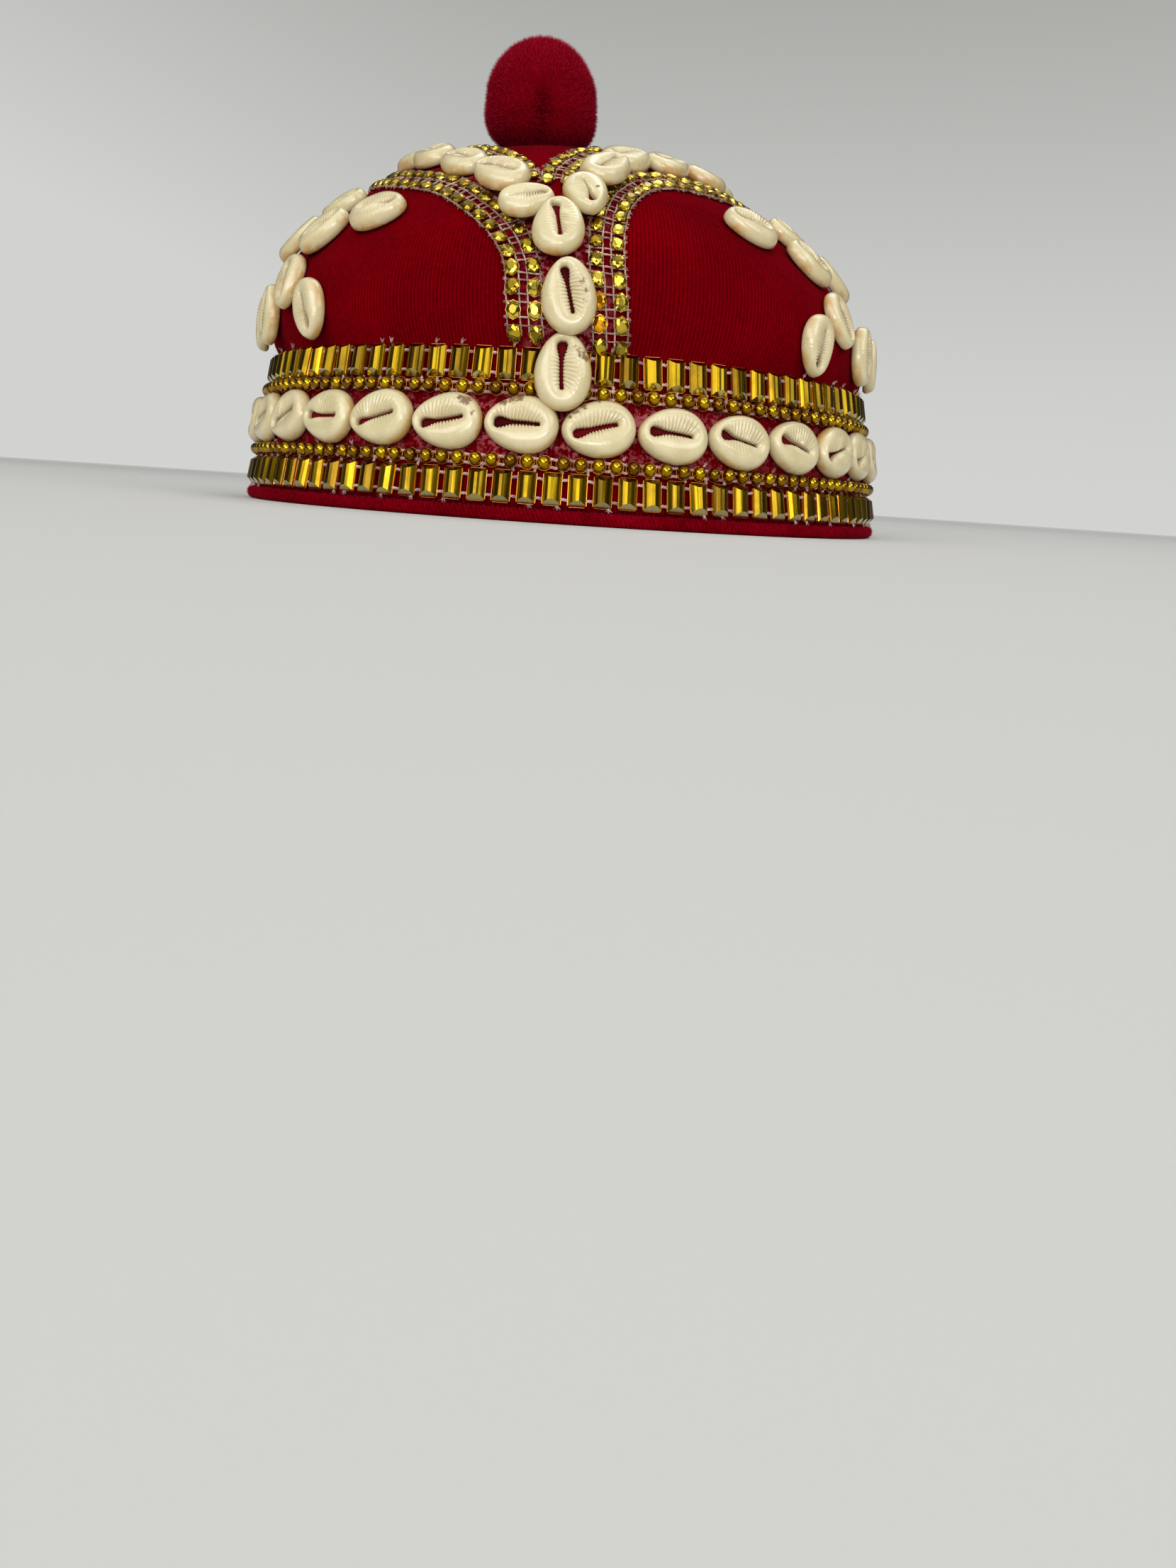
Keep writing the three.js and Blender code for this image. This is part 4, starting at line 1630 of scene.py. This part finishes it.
def stripPlaces(route):
    # rows of two stones at even steps: azimuth, climb and heading of each
    fine = smoothRoute(route)
    run = runAlong(onWall(fine[:, 0], fine[:, 1], strip["lift"]))
    start, end = strip["startGap"], run[-1] - strip["endGap"]
    marks = np.linspace(start, end, int(round((end - start) / strip["pitch"])) + 1)
    middle, ahead, behind = (
        np.stack([np.interp(marks + step, run, fine[:, k]) for k in range(2)], -1)
        for step in (0.0, 0.4, -0.4)
    )
    places = []
    for here, after, before in zip(middle, ahead, behind):
        degree = float(wallProfile(here[1])[0]) * math.pi / 180
        east, up = (after[0] - before[0]) * degree, after[1] - before[1]
        size = math.hypot(east, up)
        heading = math.degrees(math.atan2(east, up))
        places.append([
            (here[0] + sideways * up / size / degree, here[1] - sideways * east / size, heading)
            for sideways in (-strip["across"], strip["across"])
        ])
    return places


def placeMesh(name, matrices, sizes):
    # points that carry a turn and a size for the scatter tree
    mesh = newMesh(name, [m.translation / mm for m in matrices], [])
    addVector(mesh, "turn", [tuple(m.to_euler("XYZ")) for m in matrices])
    addVector(mesh, "grow", sizes)
    return newObject(name, mesh)


def scattered(name, piece, finish, matrices, sizes=None, jitter=0.0, seed=1):
    base = placeMesh("places", matrices, sizes or [(1, 1, 1)] * len(matrices))
    made = grown(name, base, scatterTree, {"Jitter": jitter, "Seed": seed, "Piece": piece, "Finish": finish})
    bpy.data.objects.remove(base)
    return made


def spanMatrix(start, end, outward):
    # X runs from start to end, Z leans outwards
    x = (end - start).normalized()
    y = outward.cross(x).normalized()
    basis = Matrix((x, y, x.cross(y))).transposed().to_4x4()
    return Matrix.Translation((start + end) / 2) @ basis


def stoneMesh():
    spec = strip
    wide, tall = spec["oval"]
    n = spec["facets"]
    # height, radius and turn of each ring of corners, the turn in facets
    levels = [
        (0.25, spec["stone"] * 0.9, 0.0),
        (0.62, spec["stone"], 0.0),
        (0.98, spec["stone"] * 0.82, 0.5),
        (spec["crown"], spec["table"], 0.0),
    ]
    points = []
    for z, radius, shift in levels:
        for i in range(n):
            a = 2 * math.pi * (i + shift) / n
            points.append((radius * wide * math.cos(a), radius * tall * math.sin(a), z))
    faces = gridFaces(2, n)
    for base in (1, 2):
        low, high = base * n, (base + 1) * n
        for i in range(n):
            j = (i + 1) % n
            if base == 1:
                faces.append((low + i, low + j, high + i))
                faces.append((low + j, high + j, high + i))
            else:
                faces.append((low + i, high + j, high + i))
                faces.append((low + i, low + j, high + j))
    faces.append(tuple(3 * n + i for i in range(n)))
    faces.append(tuple(reversed(range(n))))
    return newMesh("stone", points, faces, smooth=False)


def cupMesh():
    spec = strip
    wide, tall = spec["oval"]
    outer, inner, high = spec["cup"], spec["cup"] - spec["cupWall"], spec["cupHeight"]
    n = 12
    # radius and height of each ring, up the outside and down the inside
    rings = [
        (outer * 0.9, 0.0),
        (outer, high * 0.35),
        (outer, high * 0.6),
        (inner, high * 0.6),
        (inner, 0.1),
    ]
    # radius, height and half width of a prong, from its foot to its tip
    half = spec["prong"] / 2
    prong = [
        (outer + 0.18, 0.15, half),
        (outer + 0.12, high, half * 0.9),
        (outer - 0.55, high + 0.22, half * 0.55),
    ]
    points = []
    for radius, z in rings:
        for i in range(n):
            a = 2 * math.pi * i / n
            square = 1 + 0.06 * math.cos(4 * a)
            points.append((radius * square * wide * math.cos(a), radius * square * tall * math.sin(a), z))
    faces = cappedFaces(len(rings), n)
    for q in range(4):
        a = math.pi / 4 + q * math.pi / 2
        c, s = math.cos(a), math.sin(a)
        start = len(points)
        for radius, z, w in prong:
            for side in (-1, 1):
                for depth in (0.0, -0.22):
                    r = radius + depth
                    x, y = r * c - side * w * s, r * s + side * w * c
                    points.append((x * wide, y * tall, z + depth * 0.3))
        for k in range(2):
            b = start + 4 * k
            for p, t in ((0, 2), (2, 3), (3, 1), (1, 0)):
                faces.append((b + p, b + t, b + t + 4, b + p + 4))
        faces.append((start, start + 1, start + 3, start + 2))
        faces.append((start + 8, start + 10, start + 11, start + 9))
    return newMesh("cup", points, faces, smooth=False)


def makeStrip(name, route, tinted=()):
    # tinted lists the (row, column) of stones of the orange kind
    rows = stripPlaces(route)
    stone, cup = pattern("stone", stoneMesh()), pattern("cup", cupMesh())
    unit = twisted("netLink", 1.0, strip["strand"])
    count = len(rows)
    lift = strip["stoneLift"]
    places = [wallFrame(az, climb, lift, heading) for row in rows for az, climb, heading in row]
    odd = [places[(row % count) * 2 + column] for row, column in tinted]
    even = [place for place in places if place not in odd]
    stones = [scattered("stones", stone, foil, even, jitter=strip["jitter"], seed=count)]
    if odd:
        stones.append(scattered("tinted", stone, amberFoil, odd, jitter=strip["jitter"], seed=count))
    cups = scattered("cups", cup, cupGold, places, jitter=strip["jitter"], seed=count)
    spans, lengths = [], []

    def addSpan(first, last):
        start, end = (Vector(onWall(p[0], p[1], strip["netLift"]) * mm) for p in (first, last))
        outward = Vector(wallFrame(first[0], first[1], 0).col[2][:3])
        if (end - start).length > strip["leastSpan"] * mm:
            spans.append(spanMatrix(start, end, outward))
            lengths.append(((end - start).length / mm, 1, 1))

    def beside(place, sideways, ahead=0.0):
        # the point to the side of a stone and further along its strip
        az, climb, heading = place
        degree = float(wallProfile(climb)[0]) * math.pi / 180
        a = math.radians(heading)
        return (
            az + (sideways * math.cos(a) + ahead * math.sin(a)) / degree,
            climb - sideways * math.sin(a) + ahead * math.cos(a),
        )

    for k, row in enumerate(rows[:-1]):
        left, right = row
        nextLeft, nextRight = rows[k + 1]
        for place, after in ((left, nextLeft), (right, nextRight)):
            for sideways in (-strip["thread"], strip["thread"]):
                addSpan(beside(place, sideways), beside(after, sideways))
        for ahead in strip["rungs"]:
            addSpan(beside(left, -strip["thread"], ahead), beside(right, strip["thread"], ahead))
    net = scattered("net", unit, netThread, spans, lengths, jitter=strip["netJitter"], seed=3)
    edgeTuft = pattern("edgeTuft", tuftMesh(5, 1.0, 0.3, 0.13, 9))
    tips = [
        wallFrame(*beside(place, strip["thread"] * side, ahead), strip["frayLift"], place[2] + 90 * side)
        for row in rows for side, place in ((-1, row[0]), (1, row[1])) for ahead in strip["rungs"]
    ]
    frays = scattered("frays", edgeTuft, netThread, tips, jitter=strip["frayJitter"], seed=8)
    piece = joined(f"{name}Rhinestones", [*stones, cups, net, frays])
    asPiece(piece, "stone", f"{name}_rhinestone_strip")


makeStrip("outer", stripRoutes["outer"], tinted=[(-3, 1), (-2, 1)])
makeStrip("inner", stripRoutes["inner"])
print("rhinestone strips made")

# The stuffed velvet ball on top, gathered low at the front

pompom = {
    "x": -13.5,
    "y": 0.0,
    "bottom": 106.3,
    "radius": 16.1,
    "height": 30.0,
    "columns": 144,
    "rows": 60,
    "ribs": 46,
    "ribWidth": 3.2,
    "gather": (0.10, -0.86, -0.50),
    "folds": 5,
    "foldDepth": 0.5,
    "foldReach": 0.75,
    "dimple": 1.3,
    "dimpleReach": 0.34,
    "lump": 0.25,
    "crease": 1.5,
    "creaseAt": 0.06,
    "creaseShade": 0.85,
    "power": 2.3,
    "sag": 0.6,
    "seed": 12,
}


def between(value, low, high):
    return min(high, max(low, value))


def makePompom():
    spec = pompom
    pole = Vector(spec["gather"]).normalized()
    side = pole.cross(Vector((0, 0, 1))).normalized()
    third = pole.cross(side)
    points, uv, paintedCreaseShade = [], [], []
    rng = np.random.default_rng(spec["seed"])
    phases = rng.uniform(0, 6.28, 4)
    for r in range(spec["rows"] + 1):
        away = math.pi * r / spec["rows"]
        for c in range(spec["columns"]):
            a = 2 * math.pi * c / spec["columns"]
            direction = pole * math.cos(away) + (side * math.cos(a) + third * math.sin(a)) * math.sin(away)
            # folds fan out from the gather
            near = math.exp(-(away / spec["dimpleReach"]) ** 2)
            pleat = math.exp(-(away / spec["foldReach"]) ** 2) * math.sin(away) ** 0.5 if away > 0 else 0
            wave = math.cos(spec["folds"] * a + phases[0])
            wave += 0.5 * math.cos((spec["folds"] + 4) * a + phases[1])
            fold = spec["foldDepth"] * pleat * (0.5 - 0.5 * wave / 1.5)
            lump = math.sin(4.4 * direction.x + phases[2]) + math.sin(6.2 * direction.z + phases[3])
            # one crease runs down the front, wider and deeper toward its foot, and is painted darker as a
            # painted shade
            turn = math.atan2(direction.x, -direction.y) - spec["creaseAt"]
            line = math.exp(-(turn / (0.14 - 0.1 * direction.z)) ** 2)
            line *= between((0.12 - direction.z) / 0.4, 0.0, 1.0)
            line *= between((direction.z + 1) / 0.12, 0.0, 1.0)
            paintedCreaseShade.append(line * spec["creaseShade"])
            hollow = spec["dimple"] * near + fold + spec["crease"] * line
            level = math.hypot(direction.x, direction.y)
            square = (level ** spec["power"] + abs(direction.z) ** spec["power"]) ** (-1 / spec["power"])
            size = square - (hollow - spec["lump"] * lump) / spec["radius"]
            at = direction * size
            full = 1 + spec["sag"] * max(0.0, -at.z) ** 1.5 * max(0.0, 1 - abs(at.z)) ** 0.5
            points.append((
                spec["x"] + at.x * spec["radius"] * full,
                spec["y"] + at.y * spec["radius"] * full,
                spec["bottom"] + spec["height"] / 2 * (1 + at.z),
            ))
            uv.append((spec["ribs"] * a / (2 * math.pi) * spec["ribWidth"], away * spec["radius"]))
    points = np.array(points)
    points[:, 2] = np.maximum(points[:, 2], spec["bottom"] + 0.05)
    faces = [tuple(reversed(face)) for face in gridFaces(spec["rows"] + 1, spec["columns"])]
    mesh = newMesh("velvetPompom", points, faces)
    addUv(mesh, "ribs", uv, spec["ribs"] * spec["ribWidth"])
    # the crease's painted shade, stored as fold
    addValue(mesh, "fold", paintedCreaseShade)
    addValue(mesh, "pile", np.ones(len(points)))
    work = bmesh.new()
    work.from_mesh(mesh)
    bmesh.ops.remove_doubles(work, verts=work.verts, dist=1e-6)
    bmesh.ops.recalc_face_normals(work, faces=work.faces)
    work.to_mesh(mesh)
    work.free()
    return newObject("velvetPompom", mesh, ballVelvet)


velvetPompom = asPiece(makePompom(), "pompom", "pompom")
print("pompom made")

# Pile that stands off the velvet

fibre = {"length": 0.9, "width": 0.09, "lean": 0.7}


def fibreMesh():
    w, h = fibre["width"] / 2, fibre["length"]
    points = [(-w, 0, 0), (w, 0, 0), (0, w * 1.6, 0), (0.1, 0.05, h)]
    return newMesh("fibre", points, [(0, 1, 3), (1, 2, 3), (2, 0, 3)])


def addFuzz(name, base, density, longest, seed, slot):
    # density is in fibres per square metre, longest is a share of the fibre's length
    blade = pattern("blade", fibreMesh())
    made = grown(name, base, fuzzTree, {
        "Density": density,
        "Longest": longest,
        "Lean": fibre["lean"],
        "Seed": seed,
        "Piece": blade,
        "Finish": fuzzRed,
    })
    return asPiece(made, slot)


addFuzz("pompomPile", velvetPompom, 5.8e6, 1.45, 5, "pompom")
addFuzz("crownPile", velvetCrown, 0.36e6, 0.7, 6, "velvet")
addFuzz("rimPile", velvetRim, 3.0e6, 0.9, 7, "velvet")
print("pile made")

for left in patterns + [seedPoint]:
    bpy.data.objects.remove(left)

# Floor, light and camera

studio = {
    "floor": rgb(207, 207, 204),
    "floorGrain": rgb(203, 203, 200),
    "floorHalf": 4,
    "floorFade": (0.9, 3.2),
    "wallLow": rgb(210, 211, 208),
    "wallHigh": rgb(146, 146, 142),
    "ceiling": 0.75,
    "room": 0.08,
    "horizon": 0.2,
    "camera": (2.9, -371.9, 8.0),
    "target": (14.4, 0.0, -91.5),
    "roll": -3.87,
    "lens": 24.97,
}
lampAim = Vector((0, 0, 0.05))
# Lamps round the piece: azimuth, elevation, distance, width, height (metres), watts, colour
lamps = {
    "key": (-32, 32, 2.6, 2.2, 1.3, 26, (1, 0.985, 0.96)),
    "fill": (44, 34, 2.6, 1.6, 1.3, 18.5, (0.97, 0.985, 1)),
    "top": (150, 70, 2.6, 1.6, 1.2, 12, (1, 1, 1)),
    "strip": (3, 27, 2.6, 0.12, 0.9, 2.2, (1, 1, 1)),
    "spark": (7, 9, 2.6, 0.24, 0.24, 4, (1, 1, 1)),
    "low": (-4, 10, 2.6, 2.0, 0.9, 23, (1, 1, 1)),
}


def addLamp(name, azimuth, elevation, distance, width, height, watts, colour):
    data = bpy.data.lights.new(name, "AREA")
    data.shape = "RECTANGLE"
    data.size, data.size_y = width, height
    data.energy = watts
    data.color = colour
    lamp = bpy.data.objects.new(name, data)
    bpy.context.scene.collection.objects.link(lamp)
    a, e = math.radians(azimuth), math.radians(elevation)
    out = Vector((math.sin(a) * math.cos(e), -math.cos(a) * math.cos(e), math.sin(e)))
    lamp.location = out * distance + lampAim
    lamp.rotation_euler = (-out).to_track_quat("-Z", "Y").to_euler()


for lampName, values in lamps.items():
    addLamp(lampName, *values)


def makeWorld():
    # a pale wall for the eye, a dimmer room with a light ceiling for the light itself
    world = bpy.data.worlds.new("studio")
    bpy.context.scene.world = world
    world.use_nodes = True
    tree = world.node_tree
    tree.nodes.clear()
    kit = NodeKit(tree)
    point = kit.node("ShaderNodeTexCoord").outputs["Generated"]
    axes = kit.node("ShaderNodeSeparateXYZ", None, {0: point})
    high = kit.num(axes, "Z")
    left = (0.0 - kit.num(axes, "X")).spread(0.0, 0.6)
    wallColour = kit.blend(high.spread(0.0, 0.6) - left * 0.3, studio["wallLow"], studio["wallHigh"])
    seen = kit.node("ShaderNodeBackground", None, {"Color": wallColour, "Strength": 1.0})
    glow = high.spread(0.55, 0.95) * studio["ceiling"]
    glow = glow + high.spread(0.3, 0.0) * studio["horizon"] + studio["room"]
    shed = kit.node("ShaderNodeBackground", None, {"Color": (1.0, 1.0, 1.0, 1.0), "Strength": glow})
    path = kit.node("ShaderNodeLightPath")
    both = kit.node("ShaderNodeMixShader", None, {
        0: path.outputs["Is Camera Ray"],
        1: shed.outputs[0],
        2: seen.outputs[0],
    })
    kit.node("ShaderNodeOutputWorld", None, {"Surface": both.outputs[0]})


makeWorld()

floorPaint, floorKit, floorShader = newFinish("paleFloor", {
    "Specular IOR Level": 0.2,
    "Emission Strength": 1.0,
})
floorGrain = floorKit.noise(floorKit.objectPoint(), 3.0, 2.0)
# far off the floor turns into the wall's own tone, so that no line shows between them
floorRun = floorKit.node("ShaderNodeVectorMath", {"operation": "LENGTH"}, {0: floorKit.objectPoint()})
far = floorKit.num(floorRun, "Value").spread(*studio["floorFade"])
nearTone = floorKit.blend(floorGrain, studio["floor"], studio["floorGrain"])
feed(
    floorKit, floorShader,
    colour=floorKit.blend(far, nearTone, rgb(0, 0, 0)),
    glow=floorKit.blend(far, rgb(0, 0, 0), studio["wallLow"]),
    rough=floorGrain * 0.1 + 0.7,
)
half = studio["floorHalf"]
floorCorners = [(-half, -half, 0), (half, -half, 0), (half, half, 0), (-half, half, 0)]
floorMesh = newMesh("floor", floorCorners, [(0, 1, 2, 3)], scale=1.0)
floor = newObject("floor", floorMesh, floorPaint)
floor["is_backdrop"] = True

cameraData = bpy.data.cameras.new("camera")
cameraData.lens = studio["lens"]
cameraData.sensor_width = 36
cameraData.clip_start = 0.001
camera = bpy.data.objects.new("camera", cameraData)
bpy.context.scene.collection.objects.link(camera)
eye = Vector(studio["camera"]) * mm
aim = Vector(studio["target"]) * mm
camera.location = eye
camera.rotation_euler = (
    (aim - eye).to_track_quat("-Z", "Y").to_matrix() @ Matrix.Rotation(math.radians(-studio["roll"]), 3, "Z")
).to_euler()
bpy.context.scene.camera = camera
bpy.context.scene.view_settings.view_transform = "Standard"

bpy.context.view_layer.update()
faces = [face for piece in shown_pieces() if piece.type == "MESH" for face in piece.data.polygons]
print("triangles:", sum(len(face.vertices) - 2 for face in faces))
